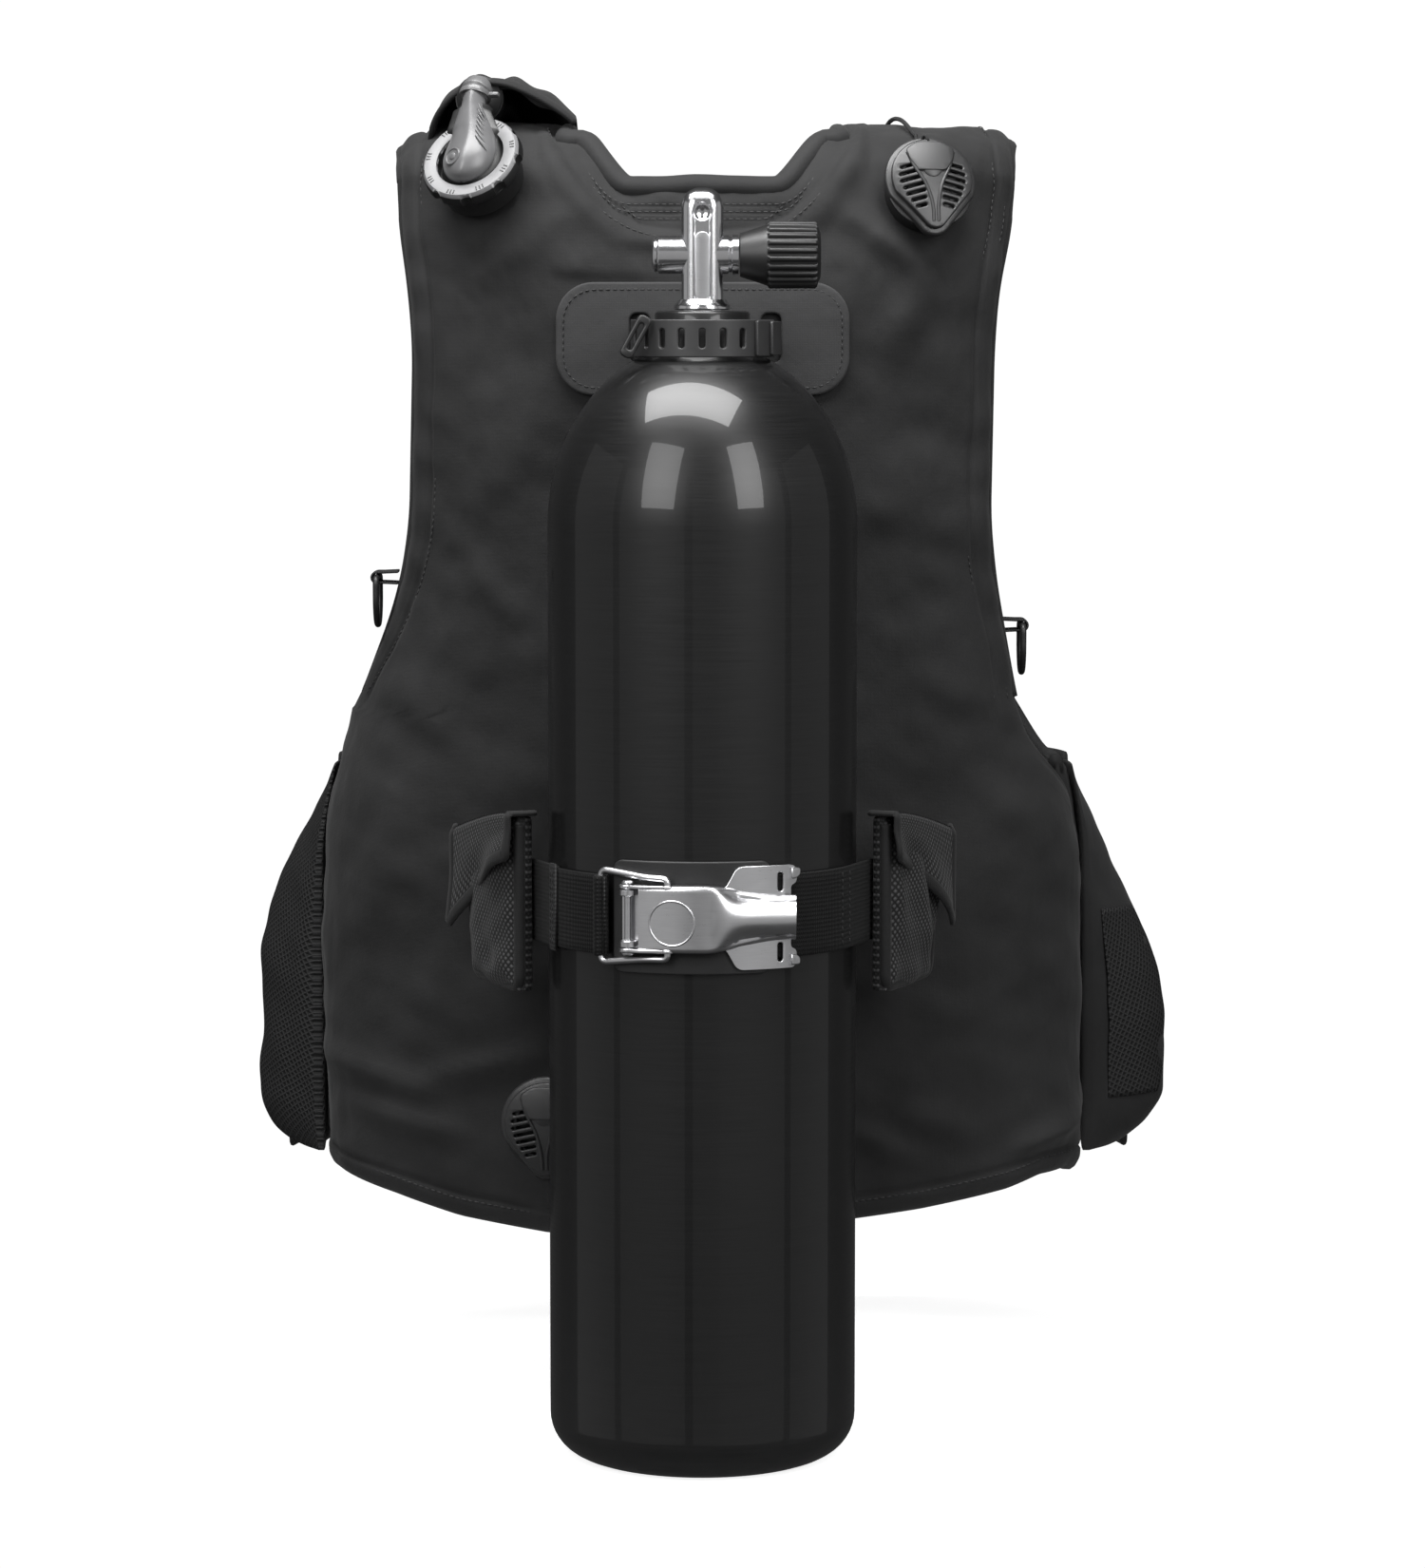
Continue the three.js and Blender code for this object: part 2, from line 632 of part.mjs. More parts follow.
/** Side-release buckle in its own frame: +X is the way the plug leaves, +Z is outwards. */
function buildBuckle(names, spot, width) {
  const buckle = new THREE.Group();
  buckle.position.set(...spot);
  buckle.rotation.x = -Math.PI / 2;
  vest.add(buckle);
  const half = width / 2 + 5;
  const thick = 12;
  const shell = raised(roundedOutline(36, 2 * half, 5), 0, thick);
  const hollow = block([-10, -half + 3.5, 2.8], [30, half - 3.5, thick - 2.8]);
  const windows = [-1, 1].map((way) => (
    block([-4, Math.min(way * (half - 4), way * (half + 4)), 3.4],
      [10, Math.max(way * (half - 4), way * (half + 4)), thick - 3.4])
  ));
  const socket = cut(shell.translate(-18, 0, 0), hollow.translate(-18, 0, 0),
    ...windows.map((window) => window.translate(-18, 0, 0)));
  add(names[0], socket, moulded, buckle);

  const reach = half - 4.2;
  const base = raised(roundedOutline(20, 2 * half - 2, 4), 0, thick).translate(10.6, 0, 0);
  const prongs = [-1, 1].map((way) => block(
    [-24, way > 0 ? reach - 4 : -reach, 3.4],
    [3, way > 0 ? reach : 4 - reach, thick - 3.4],
  ));
  const tongue = block([-18, -2.5, 3.4], [3, 2.5, thick - 3.4]);
  const slot = block([11, -width / 2 - 0.5, -1], [15, width / 2 + 0.5, thick + 1]);
  add(names[1], cut(joined(base, ...prongs, tongue), slot), moulded, buckle);
}

function buildHarness() {
  const frontY = TORSO_Y + BODY_HALF_DEPTH + VEST_THICKNESS;
  [['waist_strap_left', -1], ['waist_strap_right', 1]].forEach(([name, side]) => {
    const strap = bentBox([8, 1, 1], (u, t, v) => (
      torso(side * mix(POCKET_END_F + 0.02, 1.94, u), mix(235, 273, v),
        VEST_THICKNESS + GAP + 2 * t)
    ));
    add(name, strap, webbing);
  });
  buildBuckle(['waist_buckle_socket', 'waist_buckle_plug'], [0, frontY + 3.2, 254], 38);

  const chestY = 364;
  [['chest_strap_left', -1], ['chest_strap_right', 1]].forEach(([name, side]) => {
    const strap = bentBox([6, 1, 1], (u, t, v) => {
      const x = mix(14, 90, u);
      const inset = 12 * ease(x, 20, 90);
      return [side * x, chestY - inset + 2 * t, mix(614, 639, v)];
    });
    add(name, strap, webbing);
  });
  buildBuckle(['chest_buckle_socket', 'chest_buckle_plug'], [0, chestY + 2.6, 626.5], 25);

  [['left_d_ring', -205, 520], ['right_d_ring', 201, 490]].forEach(([name, x, z]) => {
    const ring = new THREE.Group();
    ring.position.set(x, 166, z);
    ring.rotation.set(Math.PI / 2, Math.PI / 2, 0);
    vest.add(ring);
    const outer = [[-20, 2], [-20, -2], ...arc([0, -12], 20, -90, 90, 8), [20, -2], [20, 2]];
    const hole = [[-16, -2], ...arc([0, -12], 16, -90, 90, 8), [16, -2]];
    add(name, raised(outer, -2, 2, [hole]), steel, ring);
  });
}

// ---------------------------------------------------------------- cam band and trim pockets

const bandAngle = BAND_LEAVE_ANGLE * DEGREE;
const bandWay = [Math.cos(bandAngle), Math.sin(bandAngle)];

/** Point beside the band's straight run on one side: s along it, out away from the cylinder. */
function besideBand(side, s, out) {
  const radius = BAND_INNER + out;
  return [
    side * (radius * Math.sin(bandAngle) + s * bandWay[0]),
    -radius * Math.cos(bandAngle) + s * bandWay[1],
  ];
}

function buildBand() {
  const thickness = BAND_OUTER - BAND_INNER;
  const [low, high] = [BAND_Z - BAND_HALF, BAND_Z + BAND_HALF];
  const side = (way, start) => raised([
    ...arc([0, 0], BAND_OUTER, way * start, way * BAND_LEAVE_ANGLE, 8),
    besideBand(way, BAND_RUN, thickness),
    besideBand(way, BAND_RUN, 0),
    ...arc([0, 0], BAND_INNER, way * BAND_LEAVE_ANGLE, way * start, 8),
  ], low, high);
  add('band_right', side(1, 26), webbing);
  add('band_left', side(-1, BAND_END_ANGLE), webbing);

  const barAngle = Math.atan2(BAIL_BAR[0], -BAIL_BAR[1]) / DEGREE;
  const farEnd = BAND_END_PLAY - BAND_END_ANGLE;
  const run = strip(BAND_INNER + 0.2, BAND_OUTER + 0.4, farEnd, barAngle, low, high, 8);
  const loop = raised(circle(BAIL_BAR, 4.6, 16), low, high);
  const eye = raised(circle(BAIL_BAR, WIRE_RADIUS + 0.5, 12), low - 1, high + 1);
  add('band_end', cut(joined(run, loop), eye), webbing);
}

function buildCamBuckle() {
  const pad = strip(BAND_INNER - 0.4, BAND_OUTER - 0.2, -33, 25, BUCKLE_Z - 33, BUCKLE_Z + 33, 12);
  add('buckle_pad', pad, rubber);

  const [plateIn, plateOut] = [BAND_OUTER + GAP, BAND_OUTER + GAP + LEVER_SHEET];
  const [px] = LEVER_PIVOT;
  const narrow = strip(plateIn, plateOut, -28, 20, BUCKLE_Z - 17, BUCKLE_Z + 17, 10);
  const wings = strip(plateIn, plateOut, 8, 34, BUCKLE_Z - 29.5, BUCKLE_Z + 29.5, 6);
  const lugs = [-1, 1].map((way) => (
    raised(circle(LEVER_PIVOT, 4.8, 12), BUCKLE_Z + Math.min(way * 13, way * 16.9),
      BUCKLE_Z + Math.max(way * 13, way * 16.9))
  ));
  const pinHole = raised(circle(LEVER_PIVOT, WIRE_RADIUS + 0.35, 12), BUCKLE_Z - 30, BUCKLE_Z + 30);
  const slots = [-1, 1].map((way) => (
    block([43, -100, BUCKLE_Z + Math.min(way * 15, way * 26)],
      [47, -70, BUCKLE_Z + Math.max(way * 15, way * 26)])
  ));
  add('buckle_base', cut(joined(narrow, wings, ...lugs), pinHole, ...slots), steel);

  const head = 1.5;
  const pinHalf = LEVER_HALF + 0.5;
  const pin = joined(
    raised(circle(LEVER_PIVOT, WIRE_RADIUS, 12), BUCKLE_Z - pinHalf - 0.1, BUCKLE_Z + pinHalf + 0.1),
    raised(circle(LEVER_PIVOT, 3.6, 12), BUCKLE_Z + pinHalf, BUCKLE_Z + pinHalf + head),
    raised(circle(LEVER_PIVOT, 3.6, 12), BUCKLE_Z - pinHalf - head, BUCKLE_Z - pinHalf),
  );
  add('lever_pin', pin, steel);

  const onLever = (x, radius) => [
    x,
    LEVER_ARC_CENTRE[1] - Math.sqrt(radius ** 2 - (x - LEVER_ARC_CENTRE[0]) ** 2),
  ];
  const stretch = (from, to, steps, place) => (
    Array.from({ length: steps + 1 }, (_, i) => place(mix(from, to, i / steps)))
  );
  const inner = LEVER_ARC_RADIUS - LEVER_SHEET;
  const shell = raised([
    ...stretch(-36, 14, 8, (x) => onLever(x, LEVER_ARC_RADIUS)),
    ...stretch(14, -36, 8, (x) => onLever(x, inner)),
  ], BUCKLE_Z - LEVER_HALF, BUCKLE_Z + LEVER_HALF);
  const cheekOutline = [
    ...stretch(px + 2, 12, 7, (x) => onLever(x, LEVER_ARC_RADIUS)),
    ...stretch(12, px + 4, 7, (x) => [x, -Math.sqrt(96.4 ** 2 - x ** 2)]),
  ];
  const cheeks = [-1, 1].flatMap((way) => {
    const ends = [way * LEVER_HALF, way * (LEVER_HALF - LEVER_SHEET)];
    const [low, high] = [BUCKLE_Z + Math.min(...ends), BUCKLE_Z + Math.max(...ends)];
    return [raised(cheekOutline, low, high), raised(circle(LEVER_PIVOT, 5.1, 16), low, high)];
  });
  const spoutOutline = [...arc([0, 0], 12.6, -62, 62, 8), ...arc([0, 0], 10.6, 62, -62, 8)];
  const spout = raised(spoutOutline, 0, 44)
    .applyMatrix4(new THREE.Matrix4().makeBasis(
      new THREE.Vector3(0, 0, 1),
      new THREE.Vector3(-0.2, 0.98, 0).normalize(),
      new THREE.Vector3(-0.98, -0.2, 0).normalize().negate(),
    ))
    .translate(10.5, -93.4, BUCKLE_Z);
  const holes = [LEVER_PIVOT, BAIL_PIVOT].map((pivot) => (
    raised(circle(pivot, WIRE_RADIUS + 0.6, 12), BUCKLE_Z - 30, BUCKLE_Z + 30)
  ));
  add('cam_lever', cut(joined(shell, ...cheeks, spout), ...holes), steel);

  const legs = [-1, 1].flatMap((way) => {
    const bar = [...BAIL_BAR, BUCKLE_Z + way * BAIL_HALF];
    const knee = [-31, -94.6, BUCKLE_Z + way * (LEVER_HALF + 3)];
    const eye = [...BAIL_PIVOT, BUCKLE_Z + way * (LEVER_HALF + 2.8)];
    const tip = [...BAIL_PIVOT, BUCKLE_Z + way * (LEVER_HALF - 2.6)];
    const ball = (spot) => new THREE.SphereGeometry(WIRE_RADIUS, 6, 4).translate(...spot);
    return [rod(bar, knee, WIRE_RADIUS, 6), rod(knee, eye, WIRE_RADIUS, 6),
      rod(eye, tip, WIRE_RADIUS, 6), ball(bar), ball(knee), ball(eye)];
  });
  const bar = rod([...BAIL_BAR, BUCKLE_Z - BAIL_HALF], [...BAIL_BAR, BUCKLE_Z + BAIL_HALF],
    WIRE_RADIUS, 6);
  add('wire_bail', joined(bar, ...legs), steel);
}

function buildTrimPocket(prefix, side) {
  const [low, high, near, far] = [282, 388, 28, 122];
  const [inside, outside] = [BAND_OUTER - BAND_INNER + GAP, 20];
  const outline = (from, to, a, b) => [
    besideBand(side, a, from), besideBand(side, b, from),
    besideBand(side, b, to), besideBand(side, a, to),
  ];
  add(`${prefix}_trim_pocket`, raised(outline(inside, outside, near, far), low, high), fabric);
  const cover = raised(outline(inside, outside + 3, near, far), high + GAP, high + 3);
  const lip = raised(outline(outside + GAP, outside + 3, near, far), high - 38, high + 1);
  add(`${prefix}_trim_flap`, joined(cover, lip), fabric);
}

// ---------------------------------------------------------------- inflator

function buildElbow() {
  const elbow = aim(new THREE.Group(), ELBOW_SPOT, ELBOW_AXIS);
  vest.add(elbow);
  const shoulder = inFrameOf(elbow, shoulderSolid(-1, -30, GAP, SHOULDER_CELLS));
  const flange = cut(turned([[0, -16], [27, -16], [29, 3], [0, 3]], 24), shoulder);
  add('elbow_flange', flange, moulded, elbow);

  const ring = [[25.4, 3.5], [31.5, 3.5], [32, 8], [30.5, 13], [25.4, 13], [25.4, 3.5]];
  const bites = Array.from({ length: 9 }, (_, i) => (
    rod([34.5, 0, 4.5], [34.5, 0, 11], 4.5, 6).rotateZ((20 + i * 40) * DEGREE)
  ));
  add('elbow_lock_ring', cut(turned(ring, 27), ...bites), ringGrey, elbow);

  const spine = new THREE.CatmullRomCurve3([
    new THREE.Vector3(0, -14, 14), new THREE.Vector3(0, 8, 17), new THREE.Vector3(0, 32, 19),
    new THREE.Vector3(0, 54, 16),
  ]);
  const neck = taperedTube(spine, (s) => mix(15, 10, ease(s, 0.1, 0.8)), 12, 5);
  const drop = new THREE.SphereGeometry(1, 16, 8).scale(24, 26, 14).translate(0, 0, 14);
  const ringRoom = turned([[24.9, 0], [33, 0], [33, 13.6], [24.9, 13.6], [24.9, 0]], 24);
  const foot = turned([[0, 3.5], [24.7, 3.5], [24.7, 15], [0, 15]], 24);
  const below = block([-60, -60, -60], [60, 80, 3.5]);
  add('inflator_elbow', cut(joined(foot, drop, neck), ringRoom, below), badgeGrey, elbow);
}

function buildHose() {
  add('inflator_hose', routed(HOSE_ROUTE, HOSE_RADIUS, 10, 16), rubber);

  const hood = bentBox([8, 5, 1], (u, v, w) => {
    const x = mix(-170, -80, u);
    const crown = 2.5 + 30 * Math.sin(Math.PI * u) ** 0.75;
    const t = mix(0.2, 0.5, v);
    return overShoulder(x, t, VEST_THICKNESS + mix(1, crown, w));
  });
  add('hose_sleeve', cut(hood, routed(HOSE_ROUTE, HOSE_RADIUS + 1, 10, 16)), fabric);
}

function buildInflator() {
  const inflator = new THREE.Group();
  inflator.position.set(...INFLATOR_TOP);
  vest.add(inflator);
  const barrel = turned([[0, -108], [14, -108], [16, -102], [16, -6], [13, -2.5], [0, -2.5]], 20);
  const inflateBoss = rod([0, 0, -42], [-24, 0, -42], 11, 14);
  const inflateWell = rod([-17, 0, -42], [-26, 0, -42], 9.2, 14);
  const deflateBoss = rod([0, 0, -84], [0, 24, -84], 11, 14);
  const deflateWell = rod([0, 17, -84], [0, 26, -84], 9.2, 14);
  const nipple = rod([0, 0, -66], [30, 0, -66], 5, 10);
  const body = cut(joined(barrel, inflateBoss, deflateBoss, nipple), inflateWell, deflateWell);
  add('inflator_body', body, moulded, inflator);
  const inflateButton = rod([-20.5, 0, -42], [-30, 0, -42], 8.6, 14);
  add('inflate_button', inflateButton, ringGrey, inflator);
  const deflateButton = rod([0, 20.5, -84], [0, 30, -84], 8.6, 14);
  add('deflate_button', deflateButton, moulded, inflator);
  const spine = new THREE.CatmullRomCurve3([
    new THREE.Vector3(0, 0, -109.5), new THREE.Vector3(0, 2, -122),
    new THREE.Vector3(0, 10, -136), new THREE.Vector3(0, 16, -143),
  ]);
  const mouth = taperedTube(spine, (s) => mix(12, 16, ease(s, 0.5, 1)), 16, 6, 0.62);
  add('inflator_mouthpiece', mouth, rubber, inflator);
}

// ---------------------------------------------------------------- dump valves

/** Over-pressure valve: base on the fabric, poppet under an egg-shaped slotted cover. */
function buildDumpValve(prefix, spot, axis, seat) {
  const valve = aim(new THREE.Group(), spot, axis);
  vest.add(valve);
  const disc = turned([[8, -12], [26, -12], [27.5, 1.5], [27.5, 3], [8, 3], [8, -12]], 24);
  const seats = seat.map((piece) => inFrameOf(valve, piece));
  add(`${prefix}_dump_base`, cut(disc, ...seats), moulded, valve);

  const egg = (grow) => [
    ...arc([0, 3], 26 + grow, 75, 285, 12),
    [-11 - grow, -26 - grow],
    ...arc([0, -24], 8 + grow, -50, 50, 3),
    [11 + grow, -26 - grow],
  ];
  const cover = cut(
    joined(raised(egg(2.5), 3.4, 9), raised(egg(0), 8, 13)),
    turned([[0, 3], [19, 3], [19, 9.5], [0, 9.5]], 20),
    block([-16, 5, 8], [-7, 8, 14]),
    block([7, 5, 8], [16, 8, 14]),
  );
  add(`${prefix}_dump_cover`, cover, moulded, valve);
  add(`${prefix}_dump_poppet`, turned([[0, 0.5], [6, 0.5], [6, 3.6], [17, 3.6], [17, 5.4],
    [0, 5.4]], 16), rubber, valve);
}

function buildDumpValves() {
  const patch = (left, right, low, high) => bentBox([6, 1, 3], (u, t, v) => (
    back(mix(left, right, u), mix(low, high, v), mix(-20, VEST_THICKNESS + 1, t))
  ));
  buildDumpValve('upper', UPPER_DUMP_SPOT, UPPER_DUMP_AXIS,
    [shoulderSolid(1, -40, GAP, SHOULDER_CELLS), patch(90, 190, 700, 750)]);
  buildDumpValve('lower', LOWER_DUMP_SPOT, LOWER_DUMP_AXIS, [patch(-150, -40, 130, 230)]);

  const route = CORD_ROUTE.map(([x, t, lift]) => overShoulder(x, t, VEST_THICKNESS + lift));
  add('dump_cord', routed(route, 1.4, 8, 16), webbing);

  const knob = new THREE.Group();
  const from = new THREE.Vector3(...route[7]);
  const away = from.clone().sub(new THREE.Vector3(...route[6])).normalize();
  knob.position.copy(from);
  knob.quaternion.setFromUnitVectors(UP, away);
  vest.add(knob);
  const knobProfile = [[2.1, -14], [5, -14], [8, -4], [8, 6], [5, 10], [0, 10], [0, GAP],
    [2.1, GAP], [2.1, -14]];
  add('dump_knob', turned(knobProfile, 12), moulded, knob);
}

// ---------------------------------------------------------------- assembly

buildCylinder();
buildValve();
buildNeckStrap();
buildBackPanel();
buildFrontPanel('left_front_panel', -1);
buildFrontPanel('right_front_panel', 1);
buildShoulderStrap('left_shoulder_strap', -1);
buildShoulderStrap('right_shoulder_strap', 1);
buildCollar();
buildNeckPanel();
buildCushionAndCradle();
buildSidePocket('left_side_pocket', -1, LEFT_POCKET_DEPTH);
buildSidePocket('right_side_pocket', 1, RIGHT_POCKET_DEPTH);
buildCummerbund();
buildHarness();
buildBand();
buildCamBuckle();
buildTrimPocket('left', -1);
buildTrimPocket('right', 1);
buildElbow();
buildHose();
buildInflator();
buildDumpValves();

export default vest;
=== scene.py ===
"""Looks of the diving vest on its cylinder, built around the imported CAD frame.

Lengths in this script are millimetres in the CAD frame (+Z up, the wearer faces +Y, the
cylinder is on the -Y side); make() turns them into Blender's metres.
"""

import math

import bmesh
import bpy
import numpy as np
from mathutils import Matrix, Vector, kdtree


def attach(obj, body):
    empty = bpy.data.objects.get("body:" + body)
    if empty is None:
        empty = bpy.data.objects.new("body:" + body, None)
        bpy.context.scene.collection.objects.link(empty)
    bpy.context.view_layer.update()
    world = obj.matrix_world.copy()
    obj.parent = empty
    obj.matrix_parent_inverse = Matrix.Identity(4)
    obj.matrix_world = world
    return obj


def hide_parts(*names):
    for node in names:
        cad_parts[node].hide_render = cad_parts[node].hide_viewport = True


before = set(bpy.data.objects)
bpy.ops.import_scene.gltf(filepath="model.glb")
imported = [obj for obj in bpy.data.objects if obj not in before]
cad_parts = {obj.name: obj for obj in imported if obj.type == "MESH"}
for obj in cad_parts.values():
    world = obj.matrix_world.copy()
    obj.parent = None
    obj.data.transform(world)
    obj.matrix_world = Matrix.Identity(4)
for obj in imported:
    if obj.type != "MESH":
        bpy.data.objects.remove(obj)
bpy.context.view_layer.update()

MM = 0.001
SIDES = ((-1, "left"), (1, "right"))

# ---------------------------------------------------------------- driving sizes, as in the CAD

TORSO_Y = 232.0
SECTION = 2 / 2.7
SPREAD = 1.35
THICK = 22.0
BACK_TOP_Z = 745.0
INNER_X = 84.0
FRONT_EDGE_F = 1.83
LEFT_EDGE = np.array([(413, 236), (450, 218), (470, 210), (490, 201), (521, 191), (557, 185),
                      (664, 182), (700, 185), (745, 192)], float)
RIGHT_EDGE = np.array([(385, 238), (413, 212), (431, 202.5), (449, 198.5), (484, 192), (521, 185),
                       (557, 181), (664, 183), (700, 186), (745, 196)], float)
SHOULDER_PATH = [(120, 738), (127.5, 769), (148, 793), (187, 805), (238, 796), (282, 764),
                 (316, 710), (340, 650), (351, 590)]
LEAN_Z, LEAN_RADIUS = 738.0, 67.0
TANK_RADIUS, TANK_SHOULDER_Z, TANK_DOME = 92.0, 560.0, 108.0
TANK_NECK_RADIUS, TANK_NECK_TOP = 30.0, 686.0
VALVE_Z, PATCH_Z = 686.4, 669.5
STRAP_Z, STRAP_RADIUS = 670.0, 41.0
BAND_Z, BAND_HALF, BAND_IN, BAND_OUT = 336.0, 24.5, 92.8, 95.2
BAND_LEAVE, BAND_RUN = 68.3, 151.0
LEVER_PIVOT, BAIL_PIVOT, BAIL_BAR = (-43.0, -91.4), (-20.0, -98.8), (-58.8, -79.1)
LEVER_CENTRE, LEVER_RADIUS, LEVER_HALF = (5.0, 12.0), 117.0, 19.6
WIRE = 2.0
FRONT_Y = 366.0
HOSE_ROUTE = [(-131, 150, 823), (-130, 190, 821), (-128, 240, 811), (-124, 290, 778),
              (-119, 328, 723), (-113, 356, 655), (-108, 374, 605), (-105, 382, 562)]
SIDE_F, POCKET_END_F, POCKET_SPAN = 1.01, 1.55, 260
POCKET_LOW, POCKET_HIGH, FRONT_LOW = 142, 395, 150
PAD_LOW, PAD_HIGH, PAD_REACH, PAD_OFF = 203, 697, 0.6, -9.8
SLEEVE_FROM, SLEEVE_TO = -170, -80
STITCH, WELD = (2.9, 0.9, 0.6), 0.02
CORD_ROUTE = [(132, 0.16, 3), (124, 0.24, 2), (118, 0.32, 2), (114, 0.42, 2), (110, 0.52, 3),
              (106, 0.62, 6), (104, 0.7, 10), (103, 0.76, 12)]


def ease(v, low, high):
    """Smooth step from 0 at low to 1 at high."""
    t = np.clip((np.asarray(v, float) - low) / (high - low), 0, 1)
    return t * t * (3 - 2 * t)


def mix(a, b, t):
    """Value at a share t of the way from a to b."""
    return a + (b - a) * t


def unit(v):
    """Vectors scaled to length 1."""
    v = np.asarray(v, float)
    return v / np.maximum(np.linalg.norm(v, axis=-1, keepdims=True), 1e-12)


def bell(v, middle, width):
    """Bump of height 1 about a middle."""
    return np.exp(-(((v - middle) / width) ** 2))


# ---------------------------------------------------------------- materials


def node(tree, kind, inputs=None, **settings):
    """Adds a shader node; an input is a value or the socket that feeds it."""
    made = tree.nodes.new("ShaderNode" + kind)
    for key, value in settings.items():
        setattr(made, key, value)
    for key, value in (inputs or {}).items():
        if isinstance(value, bpy.types.NodeSocket):
            tree.links.new(value, made.inputs[key])
        else:
            made.inputs[key].default_value = value
    return made


def new_look(name, color, rough, metal=0.0, **sockets):
    """A material with its Principled shader; sockets are plain values on the shader."""
    look = bpy.data.materials.new(name)
    look.use_nodes = True
    tree = look.node_tree
    shader = tree.nodes["Principled BSDF"]
    shader.inputs["Base Color"].default_value = (*color, 1) if len(color) == 3 else color
    shader.inputs["Roughness"].default_value = rough
    shader.inputs["Metallic"].default_value = metal
    for key, value in sockets.items():
        shader.inputs[key.replace("_", " ")].default_value = value
    return look, tree, shader


def grey(value):
    """A nearly neutral colour, a touch cool."""
    return (value, value, value * 1.02)


def coords(tree, kind="Object", scale=(1, 1, 1), turn=0.0):
    """Texture coordinates in millimetres, on the piece or along its own length (UV)."""
    source = node(tree, "TexCoord")
    mapping = node(tree, "Mapping", {"Vector": source.outputs[kind]})
    mapping.inputs["Scale"].default_value = [1000 * s for s in scale]
    mapping.inputs["Rotation"].default_value = (0, 0, turn)
    return mapping.outputs["Vector"]


def math_node(tree, operation, a, b=0.5):
    """Result of a maths node on values or sockets."""
    return node(tree, "Math", {0: a, 1: b}, operation=operation).outputs[0]


def sine(tree, vector, pitch, axis):
    """0..1 ripple with a pitch in millimetres along X, Y or Z of a vector."""
    split = node(tree, "SeparateXYZ", {"Vector": vector})
    turns = math_node(tree, "MULTIPLY", split.outputs[axis], 2 * math.pi / pitch)
    wave = math_node(tree, "SINE", turns)
    half = math_node(tree, "MULTIPLY", wave, 0.5)
    return math_node(tree, "ADD", half, 0.5)


def colour_between(tree, shader, factor, dark, light):
    """Base colour that runs from dark to light with a factor."""
    ramp = node(tree, "ValToRGB", {"Fac": factor})
    ramp.color_ramp.elements[0].color = (*dark, 1)
    ramp.color_ramp.elements[1].color = (*light, 1)
    tree.links.new(ramp.outputs["Color"], shader.inputs["Base Color"])
    return ramp


def bump(tree, shader, height, distance, strength=1.0, under=None):
    """Surface relief from a height, distance in millimetres; under is a bump below it."""
    made = node(tree, "Bump", {"Height": height, "Strength": strength, "Distance": distance * MM})
    if under is not None:
        tree.links.new(under, made.inputs["Normal"])
    tree.links.new(made.outputs["Normal"], shader.inputs["Normal"])
    return made.outputs["Normal"]


def rough_between(tree, shader, factor, low, high):
    """Roughness that runs from low to high with a factor."""
    spread = node(tree, "MapRange", {"Value": factor, "To Min": low, "To Max": high})
    tree.links.new(spread.outputs["Result"], shader.inputs["Roughness"])


def noise_at(tree, vector, size, detail=3.0, rough=0.55):
    """Noise whose grains are about size millimetres."""
    made = node(tree, "TexNoise", {"Vector": vector, "Scale": 1 / size, "Detail": detail,
                                   "Roughness": rough})
    return made.outputs["Fac"]


def fabric_look(name, dark, light, thread=0.8, depth=0.07):
    """Coated nylon: fine plain weave, faint mottling and small creases."""
    look, tree, shader = new_look(name, grey(dark), 0.78, Sheen_Weight=0.06, Sheen_Roughness=0.5,
                                  Specular_IOR_Level=0.28)
    place = coords(tree)
    mottle = noise_at(tree, place, 60, 5, 0.62)
    grain = noise_at(tree, place, 0.7, 2, 0.6)
    warp = sine(tree, place, thread, "Z")
    weft = sine(tree, place, thread, "X")
    weave = math_node(tree, "MULTIPLY", warp, weft)
    tone = math_node(tree, "ADD", math_node(tree, "MULTIPLY", mottle, 0.6),
                     math_node(tree, "MULTIPLY", grain, 0.4))
    ramp = colour_between(tree, shader, tone, grey(dark), grey(light))
    ramp.color_ramp.elements[0].position = 0.3
    ramp.color_ramp.elements[1].position = 0.7
    creases = bump(tree, shader, noise_at(tree, place, 14, 4, 0.6), 0.9, 0.5)
    bump(tree, shader, math_node(tree, "ADD", weave, grain), depth, 0.6, creases)
    rough_between(tree, shader, grain, 0.68, 0.86)
    return look


def ballistic_look(name, dark, light, pitch=2.1):
    """Coarse basket weave whose threads stand out, laid along the piece's own UVs; the colour follows the
    weave's height, with painted shade between the threads and a painted highlight on their tops.
    """
    look, tree, shader = new_look(name, grey(dark), 0.6, Specular_IOR_Level=0.4, Sheen_Weight=0.05)
    place = coords(tree, "UV", turn=math.radians(45))
    along = sine(tree, place, pitch, "X")
    across = sine(tree, place, pitch, "Y")
    weave = math_node(tree, "MULTIPLY", along, across)
    fuzz = noise_at(tree, place, 0.9, 2)
    height = math_node(tree, "ADD", weave, math_node(tree, "MULTIPLY", fuzz, 0.25))
    # painted shade and highlight: the weave's height darkens the gaps between the threads and lightens their
    # tops
    ramp = colour_between(tree, shader, height, grey(dark), grey(light))
    ramp.color_ramp.elements[0].position = 0.15
    ramp.color_ramp.elements[1].position = 0.85
    bump(tree, shader, height, 0.45, 0.8)
    return look


